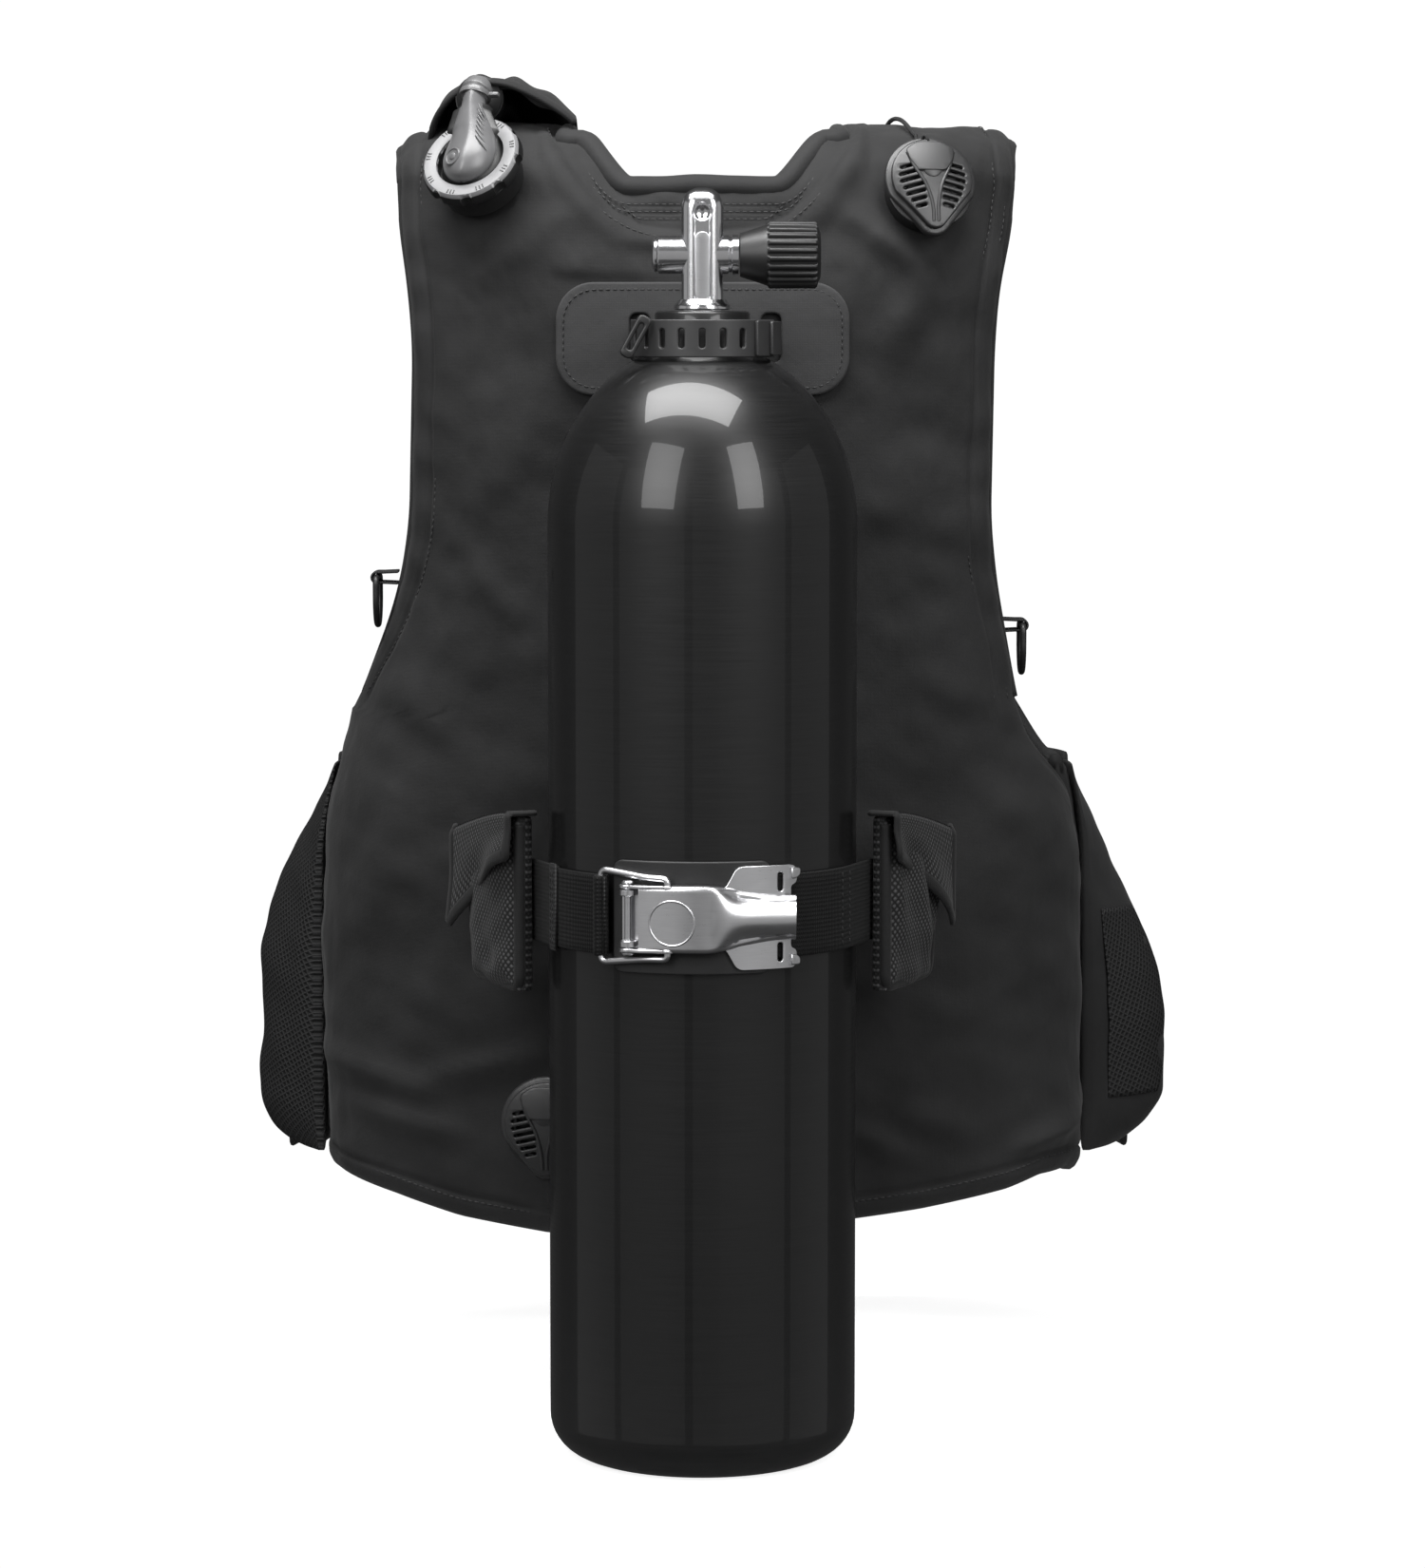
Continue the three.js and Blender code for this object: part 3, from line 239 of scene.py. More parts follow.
def mesh_look(name, dark, light, pitch=3.2, turn=0.5):
    """Open knitted mesh: rows of small holes between ribs; the colour follows the relief, with painted shade
    in the holes and a painted highlight on the ribs.
    """
    look, tree, shader = new_look(name, grey(dark), 0.7, Specular_IOR_Level=0.35)
    place = coords(tree, "UV", turn=turn)
    cells = node(tree, "TexVoronoi", {"Vector": place, "Scale": 1 / pitch, "Randomness": 0.12},
                 feature="DISTANCE_TO_EDGE")
    rib = math_node(tree, "SUBTRACT", 1.0, math_node(tree, "MULTIPLY", cells.outputs[0], 3.0))
    # painted shade and highlight: the holes are darkened and the ribs lightened by their height
    ramp = colour_between(tree, shader, rib, grey(dark), grey(light))
    ramp.color_ramp.elements[0].position = 0.35
    ramp.color_ramp.elements[1].position = 0.8
    bump(tree, shader, rib, 0.5, 0.9)
    return look


def webbing_look(name, dark, light, pitch=1.9):
    """Woven strap: herringbone ribs along its length; the colour follows the weave's height, with painted
    shade between the ribs and a painted highlight on them.
    """
    look, tree, shader = new_look(name, grey(dark), 0.62, Specular_IOR_Level=0.2, Sheen_Weight=0.03)
    place = coords(tree, "UV")
    ribs = sine(tree, place, pitch * 1.3, "Y")
    picks = sine(tree, place, pitch * 0.75, "X")
    weave = math_node(tree, "MULTIPLY", math_node(tree, "ADD", ribs, 0.35), picks)
    fuzz = noise_at(tree, place, 1.1, 2)
    height = math_node(tree, "ADD", weave, math_node(tree, "MULTIPLY", fuzz, 0.3))
    # painted shade and highlight: low parts of the weave darkened, raised ribs lightened
    ramp = colour_between(tree, shader, height, grey(dark), grey(light))
    ramp.color_ramp.elements[1].position = 0.95
    bump(tree, shader, height, 0.35, 0.8)
    return look


def moulded_look(name, tone, rough, depth=0.05, **sockets):
    """Moulded plastic or rubber: fine grain, faint mottling, scuffed roughness."""
    look, tree, shader = new_look(name, grey(tone), rough, **sockets)
    place = coords(tree)
    fine = noise_at(tree, place, 0.5, 3)
    patch = noise_at(tree, place, 11, 4)
    colour_between(tree, shader, patch, grey(tone * 0.82), grey(tone * 1.2))
    rough_between(tree, shader, patch, rough * 0.86, min(rough * 1.16, 1))
    bump(tree, shader, fine, depth, 0.5)
    return look


def metal_look(name, tone, rough, streak):
    """Polished or brushed metal; streak stretches the brushing along X, Y and Z."""
    look, tree, shader = new_look(name, grey(tone), rough, 1.0)
    place = coords(tree, scale=streak)
    lines = noise_at(tree, place, 0.6, 4, 0.65)
    smudge = noise_at(tree, coords(tree), 9, 3)
    rough_between(tree, shader, math_node(tree, "MULTIPLY", lines, smudge), rough * 0.85, rough * 1.3)
    colour_between(tree, shader, lines, grey(tone * 0.9), grey(min(tone * 1.06, 1)))
    bump(tree, shader, lines, 0.003, 0.3)
    return look


def tank_look():
    """Black paint under clear gloss, with the turning marks of the cylinder showing through."""
    look, tree, shader = new_look("cylinder_paint", grey(0.003), 0.3, 0.0, Coat_Weight=0.55,
                                  Coat_Roughness=0.03, Coat_IOR=1.42, Specular_IOR_Level=0.3)
    place = coords(tree, scale=(0.02, 0.02, 1.0))
    lines = noise_at(tree, place, 0.8, 5, 0.7)
    colour_between(tree, shader, lines, grey(0.003), grey(0.012))
    rough_between(tree, shader, lines, 0.24, 0.46)
    bump(tree, shader, lines, 0.02, 0.6)
    return look


LOOKS = {
    "vest": fabric_look("vest_fabric", 0.008, 0.0185),
    "collar": fabric_look("collar_fabric", 0.0105, 0.021),
    "binding": fabric_look("binding_tape", 0.007, 0.013, thread=1.2, depth=0.12),
    "patch": fabric_look("grey_patch", 0.027, 0.043, thread=1.0),
    "sleeve": fabric_look("sleeve_fabric", 0.006, 0.011, thread=0.9),
    # cushion and side mesh: dark is painted shade in the holes, light a painted highlight on the ribs
    "cushion": mesh_look("cushion_mesh", 0.006, 0.03, pitch=3.0),
    "side": mesh_look("side_mesh", 0.004, 0.02, pitch=3.4, turn=0.45),
    # pocket weave: dark is painted shade between the threads, light a painted highlight on their tops
    "ballistic": ballistic_look("pocket_fabric", 0.002, 0.07, 3.2),
    # webbing looks: dark is painted shade between the ribs, light a painted highlight on them
    "band": webbing_look("band_webbing", 0.002, 0.006),
    "harness": webbing_look("harness_webbing", 0.007, 0.024),
    "elastic": webbing_look("elastic_fabric", 0.008, 0.022, pitch=2.6),
    "thread": moulded_look("stitching", 0.018, 0.6, depth=0.02),
    "rubber": moulded_look("soft_rubber", 0.016, 0.5, Specular_IOR_Level=0.4),
    "grip": moulded_look("handwheel_rubber", 0.010, 0.42),
    "strap": moulded_look("strap_rubber", 0.024, 0.45),
    "hose": moulded_look("hose_rubber", 0.010, 0.4),
    "plastic": moulded_look("black_plastic", 0.012, 0.38),
    "cover": moulded_look("cover_plastic", 0.024, 0.36),
    "ring": moulded_look("ring_plastic", 0.17, 0.42),
    "elbow": moulded_look("elbow_plastic", 0.11, 0.3),
    "button": moulded_look("button_plastic", 0.12, 0.35),
    # cord braid: dark and light are the painted shade and painted highlight of its weave
    "braid": webbing_look("cord_braid", 0.01, 0.03, pitch=1.0),
    "chrome": metal_look("valve_chrome", 0.86, 0.19, (1, 1, 1)),
    "steel": metal_look("buckle_steel", 0.78, 0.3, (0.05, 0.05, 1)),
    "tank": tank_look(),
}

# ---------------------------------------------------------------- mesh tools


def solid(name, spots, faces):
    """A linked object from millimetre points, its faces turned outwards."""
    mesh = bpy.data.meshes.new(name)
    mesh.from_pydata((np.asarray(spots, float) * MM).tolist(), [], as_lists(faces))
    bm = bmesh.new()
    bm.from_mesh(mesh)
    bmesh.ops.recalc_face_normals(bm, faces=bm.faces)
    bm.to_mesh(mesh)
    bm.free()
    obj = bpy.data.objects.new(name, mesh)
    bpy.context.scene.collection.objects.link(obj)
    return obj


def as_lists(faces):
    """Faces as plain lists, which Blender and joined_parts want."""
    return faces.tolist() if isinstance(faces, np.ndarray) else faces


def make(name, spots, faces, look, slot, nodes=(), body="root", uv=None, sharp=None, smooth=True):
    """Makes a piece from millimetre points, lets it ride and hides the nodes it stands for."""
    obj = solid(name, spots, faces)
    mesh = obj.data
    mesh.shade_smooth() if smooth else mesh.shade_flat()
    if sharp:
        mesh.set_sharp_from_angle(angle=math.radians(sharp))
    if uv is not None:
        layer = mesh.uv_layers.new(name="UVMap")
        corner = np.zeros(len(mesh.loops), int)
        mesh.loops.foreach_get("vertex_index", corner)
        layer.data.foreach_set("uv", (np.asarray(uv)[corner] * MM).astype(np.float32).ravel())
    mesh.materials.append(LOOKS[look])
    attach(obj, body)
    if nodes:
        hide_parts(*([nodes] if isinstance(nodes, str) else nodes))
    return obj


def moved(part, place):
    """A (points, faces) part with its points moved by a function or by an offset."""
    return (place(part[0]) if callable(place) else part[0] + place), part[1]


def grid_faces(ids):
    """Quads between the rows and columns of an array of point numbers."""
    return np.stack([ids[:-1, :-1], ids[1:, :-1], ids[1:, 1:], ids[:-1, 1:]], -1).reshape(-1, 4)


def tube_faces(ids):
    """Quads between rows of points that close on themselves, and a cap on each end."""
    around = grid_faces(np.concatenate([ids, ids[:, :1]], 1)).tolist()
    return around + [ids[0, ::-1].tolist(), ids[-1].tolist()]


def between_sheets(front, behind):
    """Closed solid between two grids of points of the same shape."""
    n = front.shape[0] * front.shape[1]
    ids = np.arange(n).reshape(front.shape[:2])
    rim = np.concatenate([ids[:, 0], ids[-1, 1:], ids[-2::-1, -1], ids[0, -2:0:-1]])
    faces = grid_faces(ids).tolist() + (grid_faces(ids)[:, ::-1] + n).tolist()
    faces += [[a, b, b + n, a + n] for a, b in zip(rim, np.roll(rim, -1))]
    return np.concatenate([front.reshape(-1, 3), behind.reshape(-1, 3)]), faces


def loft(sections):
    """Closed solid through outlines of equal length, given as 3-D points."""
    m = len(sections[0])
    return np.concatenate(sections), tube_faces(np.arange(len(sections) * m).reshape(-1, m))


def puffed(edge, reach):
    """Quarter-round rise from 0 at an edge to 1 at a reach inside it."""
    return np.sqrt(1 - (1 - np.clip(edge / reach, 0, 1)) ** 2)


def lattice(cells):
    """Spots (0..1 each way) and quads on the skin of a box of cells."""
    shape = tuple(c + 1 for c in cells)
    edge = np.zeros(shape, bool)
    for axis in range(3):
        ends = [slice(None)] * 3
        for end in (0, -1):
            ends[axis] = end
            edge[tuple(ends)] = True
    ids = np.full(shape, -1)
    ids[edge] = np.arange(edge.sum())
    faces = [grid_faces(np.take(ids, end, axis)) for axis in range(3) for end in (0, -1)]
    return np.argwhere(edge) / np.array(cells), np.concatenate(faces)


def crowd(u, share=0.5):
    """Moves even steps towards both ends."""
    return mix(u, 0.5 - 0.5 * np.cos(np.pi * u), share)


def bent(name, cells, bend, look, slot, span=(1, 1), **options):
    """A closed box of cells bent by a function of three arrays; span is its size for the UVs."""
    where, faces = lattice(cells)
    u, t, v = where.T
    spots = np.stack(np.broadcast_arrays(*bend(crowd(u), t, crowd(v))), -1)
    uv = np.stack([crowd(u) * span[0], crowd(v) * span[1]], -1)
    return make(name, spots, faces, look, slot, uv=uv, **options)


def turned(profile, sides=64):
    """Points and faces of a solid of revolution about +Z from (radius, height) pairs."""
    angles = np.linspace(0, 2 * math.pi, sides, endpoint=False)
    profile = np.asarray(profile, float)
    ring = np.stack([np.cos(angles), np.sin(angles)], -1)
    spots = np.concatenate([profile[:, None, :1] * ring[None], np.broadcast_to(
        profile[:, None, 1:], (len(profile), sides, 1))], -1).reshape(-1, 3)
    ids = np.arange(len(profile) * sides).reshape(len(profile), sides)
    hollow = np.array_equal(profile[0], profile[-1])
    faces = tube_faces(ids)
    return spots, faces[:-2] if hollow else faces


def softened(points, radius, steps=4):
    """A polyline whose corners are rounded with arcs of about a radius."""
    points = [np.asarray(p, float) for p in points]
    made = [points[0]]
    for before, corner, after in zip(points, points[1:], points[2:]):
        back, on = before - corner, after - corner
        reach = min(radius, np.linalg.norm(back) / 2, np.linalg.norm(on) / 2)
        start, end = corner + unit(back) * reach, corner + unit(on) * reach
        for t in np.linspace(0, 1, steps + 1):
            made.append((1 - t) ** 2 * start + 2 * t * (1 - t) * corner + t * t * end)
    return np.array(made + [points[-1]])


def smooth_path(points, count):
    """Evenly spaced points on the centripetal Catmull-Rom curve through a route."""
    p = np.asarray(points, float)
    p = np.concatenate([[2 * p[0] - p[1]], p, [2 * p[-1] - p[-2]]])
    made = []
    for i in range(1, len(p) - 2):
        steps = [np.linalg.norm(p[i + k] - p[i + k - 1]) ** 0.5 for k in range(3)]
        d0, d1, d2 = [max(s, 1e-4) for s in steps]
        a, b, c, d = p[i - 1:i + 3]
        t1 = ((b - a) / d0 - (c - a) / (d0 + d1) + (c - b) / d1) * d1
        t2 = ((c - b) / d1 - (d - b) / (d1 + d2) + (d - c) / d2) * d1
        s = np.linspace(0, 1, 40, endpoint=False)[:, None]
        made.append(b + t1 * s + (-3 * b + 3 * c - 2 * t1 - t2) * s ** 2
                    + (2 * b - 2 * c + t1 + t2) * s ** 3)
    return resampled(np.concatenate(made + [p[-2:-1]]), count)


def lengths(path):
    """Running length along a path at each of its points."""
    return np.concatenate([[0], np.cumsum(np.linalg.norm(np.diff(path, axis=0), axis=1))])


def resampled(path, count):
    """A path as evenly spaced points."""
    along = lengths(path)
    at = np.linspace(0, along[-1], count)
    return np.stack([np.interp(at, along, path[:, k]) for k in range(path.shape[1])], -1)


def directions(path, closed=False):
    """Forward direction at each point of a path."""
    if closed:
        return unit(np.roll(path, -1, 0) - np.roll(path, 1, 0))
    return unit(np.gradient(path, axis=0))


def carried(path):
    """Outward directions carried along a path with no twist."""
    way = directions(path)
    first = np.cross(way[0], (0.3, 0.2, 1.0))
    out = [unit(first)]
    for w in way[1:]:
        out.append(unit(out[-1] - w * np.dot(out[-1], w)))
    return np.array(out)


def oval(width, height, sides=12, power=1.0):
    """Section outline; a power below 1 squares it off."""
    a = np.linspace(0, 2 * math.pi, sides, endpoint=False)
    c, s = np.cos(a), np.sin(a)
    return np.stack([width / 2 * np.sign(c) * np.abs(c) ** power,
                     height / 2 * np.sign(s) * np.abs(s) ** power], -1)


def swept(path, section, out=None, scale=None, closed=False):
    """Points, faces and UVs of a section (across, outwards) carried along a path."""
    path = np.asarray(path, float)
    way = directions(path, closed)
    out = carried(path) if out is None else unit(out - way * np.sum(out * way, -1, keepdims=True))
    across = np.cross(way, out)
    scale = np.ones(len(path)) if scale is None else np.asarray(scale, float)
    n, m = len(path), len(section)
    spots = (path[:, None] + across[:, None] * section[None, :, :1] * scale[:, None, None]
             + out[:, None] * section[None, :, 1:] * scale[:, None, None]).reshape(-1, 3)
    ids = np.arange(n * m).reshape(n, m)
    faces = tube_faces(np.concatenate([ids, ids[:1]], 0))[:-2] if closed else tube_faces(ids)
    uv = np.stack([np.repeat(lengths(path), m), np.tile(section[:, 0], n)], -1)
    return spots, faces, uv


def tube(name, path, radius, look, slot, sides=16, scale=None, **options):
    """A round cord or hose along a path."""
    spots, faces, uv = swept(path, oval(2 * radius, 2 * radius, sides), scale=scale)
    return make(name, spots, faces, look, slot, uv=uv, **options)


def joined_parts(parts):
    """One set of points and faces from several."""
    spots, faces, total = [], [], 0
    for points, quads in parts:
        spots.append(np.asarray(points, float))
        faces += [[i + total for i in face] for face in as_lists(quads)]
        total += len(points)
    return np.concatenate(spots), faces


def stitches(name, rows, pitch=4.2, slot="vest_fabric"):
    """Sewn thread: a small rounded bar for each stitch along (path, outward) rows."""
    ring = np.array([(-1, 0.3), (-0.7, 1), (0.7, 1), (1, 0.3)])
    around = np.linspace(0, 2 * math.pi, 6, endpoint=False)
    bar = np.array([(x, r * math.cos(a), r * math.sin(a)) for x, r in ring for a in around])
    bar = bar * np.array(STITCH) / 2
    quads = tube_faces(np.arange(len(bar)).reshape(len(ring), -1))
    spots, faces = [], []
    for path, out in rows:
        count = max(int(lengths(path)[-1] / pitch), 2)
        both = resampled(np.concatenate([path, np.broadcast_to(out, path.shape)], 1), count)
        middle = (both[1:, :3] + both[:-1, :3]) / 2
        way = unit(both[1:, :3] - both[:-1, :3])
        up = unit(both[1:, 3:6])
        side = unit(np.cross(way, up))
        up = np.cross(side, way)
        for k in range(len(middle)):
            start = len(spots) * len(bar)
            spots.append(middle[k] + bar[:, :1] * way[k] + bar[:, 1:2] * side[k]
                         + bar[:, 2:] * up[k])
            faces += [[i + start for i in face] for face in quads]
    return make(name, np.concatenate(spots), faces, "thread", slot)


def binding(name, path, section, out, slot="vest_fabric", closed=False, **options):
    """Tape of a section sewn along a path."""
    spots, faces, uv = swept(path, section, out, closed=closed)
    return make(name, spots, faces, "binding", slot, uv=uv, **options)


def plate(outlines, depth, bevel, step=(0, 0), place=None):
    """A flat plate of XY outlines (later ones are holes) with rounded edges, bent by place.

    Step cuts it across X and Y so that it can bend.
    """
    curve = bpy.data.curves.new("outline", "CURVE")
    curve.dimensions, curve.fill_mode = "2D", "BOTH"
    curve.extrude, curve.bevel_depth = depth / 2 - bevel, bevel
    curve.bevel_resolution, curve.offset = 2, -bevel
    for outline in outlines:
        spline = curve.splines.new("POLY")
        spline.points.add(len(outline) - 1)
        flat = np.zeros((len(outline), 4))
        flat[:, :2] = outline
        flat[:, 3] = 1
        spline.points.foreach_set("co", flat.ravel())
        spline.use_cyclic_u = True
    holder = bpy.data.objects.new("outline", curve)
    bpy.context.scene.collection.objects.link(holder)
    graph = bpy.context.evaluated_depsgraph_get()
    mesh = bpy.data.meshes.new_from_object(holder.evaluated_get(graph))
    bpy.data.objects.remove(holder)
    bpy.data.curves.remove(curve)
    bm = bmesh.new()
    bm.from_mesh(mesh)
    bmesh.ops.remove_doubles(bm, verts=bm.verts, dist=1e-4)
    low, high = np.min(outlines[0], 0), np.max(outlines[0], 0)
    for axis, every in enumerate(step):
        normal = Vector((1 - axis, axis, 0))
        for at in np.arange(low[axis] + every / 2, high[axis], every) if every else ():
            bmesh.ops.bisect_plane(bm, geom=bm.verts[:] + bm.edges[:] + bm.faces[:],
                                   plane_co=normal * at, plane_no=normal, dist=1e-5)
    bm.verts.index_update()
    spots = np.array([v.co for v in bm.verts])
    faces = [[v.index for v in f.verts] for f in bm.faces]
    bm.free()
    bpy.data.meshes.remove(mesh)
    return place(spots) if place else spots, faces


def arc(centre, radius, start, end, steps):
    """Points on an arc; angles in degrees from -Y towards +X."""
    a = np.radians(np.linspace(start, end, steps + 1))
    return np.stack([centre[0] + radius * np.sin(a), centre[1] - radius * np.cos(a)], -1)


def rounded_outline(width, height, radius, steps=6, centre=(0, 0)):
    """Rectangle outline with rounded corners."""
    x, y = width / 2 - radius, height / 2 - radius
    corners = [((x, -y), 0), ((x, y), 90), ((-x, y), 180), ((-x, -y), 270)]
    made = [arc(c, radius, a, a + 90, steps) for c, a in corners]
    return np.concatenate(made) + np.array(centre)


def basis(spot, x, y, z):
    """Moves points of a local frame, given by its three axes, to a spot."""
    turn = np.stack([unit(x), unit(y), unit(z)])
    return lambda p: np.asarray(p, float) @ turn + np.asarray(spot, float)


def to_back(spot):
    """Local +Z along -Y, as seen from behind the wearer."""
    return basis(spot, (1, 0, 0), (0, 0, 1), (0, -1, 0))


def to_front(spot):
    """Local +Z along +Y."""
    return basis(spot, (1, 0, 0), (0, 0, -1), (0, 1, 0))


def to_right(spot):
    """Local +Z along +X."""
    return basis(spot, (0, 1, 0), (0, 0, 1), (1, 0, 0))


def to_left(spot):
    """Local +Z along -X."""
    return basis(spot, (0, 1, 0), (0, 0, -1), (-1, 0, 0))


def aimed(spot, axis):
    """Local +Z along an axis and local +Y as upright as it can be."""
    out = unit(axis)
    side = unit(np.cross((0, 0, 1), out))
    return basis(spot, side, np.cross(out, side), out)


def carve(obj, *parts):
    """Cuts (points, faces) parts out of a piece, which keeps its own finish."""
    cutters = [solid("cutter", *part) for part in parts]
    for cutter in cutters:
        change = obj.modifiers.new("carve", "BOOLEAN")
        change.object, change.operation, change.solver = cutter, "DIFFERENCE", "EXACT"
    graph = bpy.context.evaluated_depsgraph_get()
    mesh = bpy.data.meshes.new_from_object(obj.evaluated_get(graph))
    obj.modifiers.clear()
    obj.data = mesh
    for cutter in cutters:
        bpy.data.objects.remove(cutter)


def bevelled(obj, width):
    """Rounds the hard edges of a piece."""
    edge = obj.modifiers.new("edges", "BEVEL")
    edge.width, edge.segments, edge.limit_method = width * MM, 2, "ANGLE"
    edge.angle_limit = math.radians(40)


# ---------------------------------------------------------------- trunk surface


def half_width(z):
    """Half the trunk's width at a height."""
    return mix(222, 190, ease(z, 330, 520))


def half_depth(z):
    """Half the trunk's depth at a height."""
    return mix(112, 96, ease(z, 680, 800))


def lean(z):
    """How far the upper back leans towards the wearer."""
    rise = np.clip(z - LEAN_Z, 0, LEAN_RADIUS * 0.93)
    return LEAN_RADIUS - np.sqrt(LEAN_RADIUS ** 2 - rise ** 2)


def torso(f, z, off):
    """Points at f round the trunk: 0 back centre, 1 side, 2 front centre; negative is -X."""
    f, z, off = np.broadcast_arrays(*(np.asarray(a, float) for a in (f, z, off)))
    f = np.where(f > 2, f - 4, f)
    around = np.abs(f)
    quarter = np.clip(np.where(around > 1, 2 - around, around), 0, 1)
    near, far = quarter ** SPREAD, (1 - quarter) ** SPREAD
    angle = math.pi / 2 * near / (near + far)
    x = (half_width(z) + off) * np.sin(angle) ** SECTION
    y = (half_depth(z) + off) * np.clip(np.cos(angle), 0, 1) ** SECTION
    return np.stack([np.sign(f) * x, TORSO_Y + np.where(around > 1, y, -y), z], -1)


def back_f(x, z, off):
    """How far round the trunk a point of the back at x is."""
    reach = np.clip(np.abs(x) / (half_width(z) + off), 0, 1)
    share = np.arcsin(reach ** (1 / SECTION)) / (math.pi / 2)
    ratio = (share / (1 - share + 1e-9)) ** (1 / SPREAD)
    return np.sign(x) * ratio / (1 + ratio)


def back(x, z, off=THICK):
    """Points on the back at a given x."""
    x, z, off = np.broadcast_arrays(*(np.asarray(a, float) for a in (x, z, off)))
    spots = torso(back_f(x, z, off), z, off)
    spots[..., 1] += lean(z)
    return spots


SHOULDER = smooth_path(SHOULDER_PATH, 600)
SHOULDER_WAY = directions(SHOULDER)
SHOULDER_T = np.linspace(0, 1, 600)


def over_shoulder(x, t, off):
    """Points over a shoulder: x across, t along it from back to front, off from its inner face."""
    x, t, off = np.broadcast_arrays(*(np.asarray(a, float) for a in (x, t, off)))
    at = [np.interp(t, SHOULDER_T, values) for values in (*SHOULDER.T, *SHOULDER_WAY.T)]
    at_back = 1 - ease(t, 0.02, 0.4)
    bend = back(x, BACK_TOP_Z)[..., 1] - back(137, BACK_TOP_Z)[1]
    on_top = ease(t, 0.02, 0.2) * (1 - ease(t, 0.3, 0.6))
    drop = 16 * (np.maximum(np.abs(x) - 119, 0) / 71) ** 1.5 * on_top
    proud = off - THICK
    return np.stack([x, at[0] + at_back * bend - at[3] * proud, at[1] - drop + at[2] * proud], -1)


def outward(place, *at):
    """Outward direction of a surface function whose last argument is the offset."""
    return unit(place(*at, THICK + 1) - place(*at, THICK))


def edge_x(z, side):
    """Half width of the back at the armhole, eased over the corners of its table."""
    table = LEFT_EDGE if side < 0 else RIGHT_EDGE
    return np.mean([np.interp(z + d, *table.T) for d in np.linspace(-14, 14, 9)], 0)


def edge_f(z, side):
    """How far round the trunk the back reaches at a height."""
    table = LEFT_EDGE if side < 0 else RIGHT_EDGE
    start = table[0, 0]
    armhole = np.abs(back_f(edge_x(np.maximum(z, start), side), np.maximum(z, start), THICK))
    return mix(0.985, armhole, ease(z, start - 30, start + 6))


# ---------------------------------------------------------------- vest shell


def shell_thickness(spots, faces, reach, relief):
    """Stuffs a sheet into a closed panel whose outer face is the sheet.

    Within reach of the free edges the thickness closes to RIM and the outer face rolls in by
    ROLL_IN. Relief is added along the outward direction.
    """
    mesh = bpy.data.meshes.new("sheet")
    mesh.from_pydata(spots.tolist(), [], faces.tolist())
    bm = bmesh.new()
    bm.from_mesh(mesh)
    bm.normal_update()
    normals = np.array([v.normal for v in bm.verts])
    free = np.array([v.is_boundary for v in bm.verts])
    loops = [(e.verts[0].index, e.verts[1].index) for e in bm.edges if e.is_boundary]
    bm.free()
    bpy.data.meshes.remove(mesh)
    tree = kdtree.KDTree(int(free.sum()))
    for i in np.flatnonzero(free):
        tree.insert(spots[i], int(i))
    tree.balance()
    away = np.array([tree.find(p)[2] for p in spots])
    swell = puffed(away, reach)
    outer = -ROLL_IN * (1 - swell) + relief(spots, away) * swell
    inner = mix(-ROLL_IN - RIM, 1 - THICK, swell)
    n = len(spots)
    points = np.concatenate([spots + normals * outer[:, None], spots + normals * inner[:, None]])
    made = faces.tolist() + (faces[:, ::-1] + n).tolist()
    made += [[a, b, b + n, a + n] for a, b in loops]
    return points, made


def facing(spots, faces, towards):
    """Turns a sheet's quads so that they face the way a function of the middle points says."""
    middle = spots[faces].mean(1)
    a, b, c = spots[faces[:, 0]], spots[faces[:, 1]], spots[faces[:, 2]]
    wrong = np.sum(np.cross(b - a, c - a) * towards(middle), -1) < 0
    return np.where(wrong[:, None], faces[:, ::-1], faces)


def welded(spots, faces):
    """Joins points that share a place."""
    _, first, same = np.unique(np.round(spots / WELD).astype(int), axis=0, return_index=True,
                               return_inverse=True)
    return spots[first], same.reshape(-1)[faces]


def ripples(spots, size, height, seed, count=14):
    """Smooth random unevenness: a sum of plane waves of about one size, in millimetres."""
    draw = np.random.default_rng(seed)
    ways = unit(draw.normal(size=(count, 3)))
    turns = 2 * math.pi / (size * draw.uniform(0.7, 1.5, count))
    phases = draw.uniform(0, 2 * math.pi, count)
    waves = np.sin(spots @ (ways * turns[:, None]).T + phases)
    return height * waves.sum(-1) / math.sqrt(count)


def folds(x, z, creases):
    """Soft ridges between (x, z) points, each with a half width and a height."""
    total = np.zeros(np.shape(x))
    for x0, z0, x1, z1, width, height in creases:
        run = np.array([x1 - x0, z1 - z0])
        share = np.clip(((x - x0) * run[0] + (z - z0) * run[1]) / (run @ run), 0, 1)
        gap = np.hypot(x - x0 - share * run[0], z - z0 - share * run[1])
        total += height * np.exp(-((gap / width) ** 2)) * np.sin(math.pi * mix(0.12, 0.88, share))
    return total


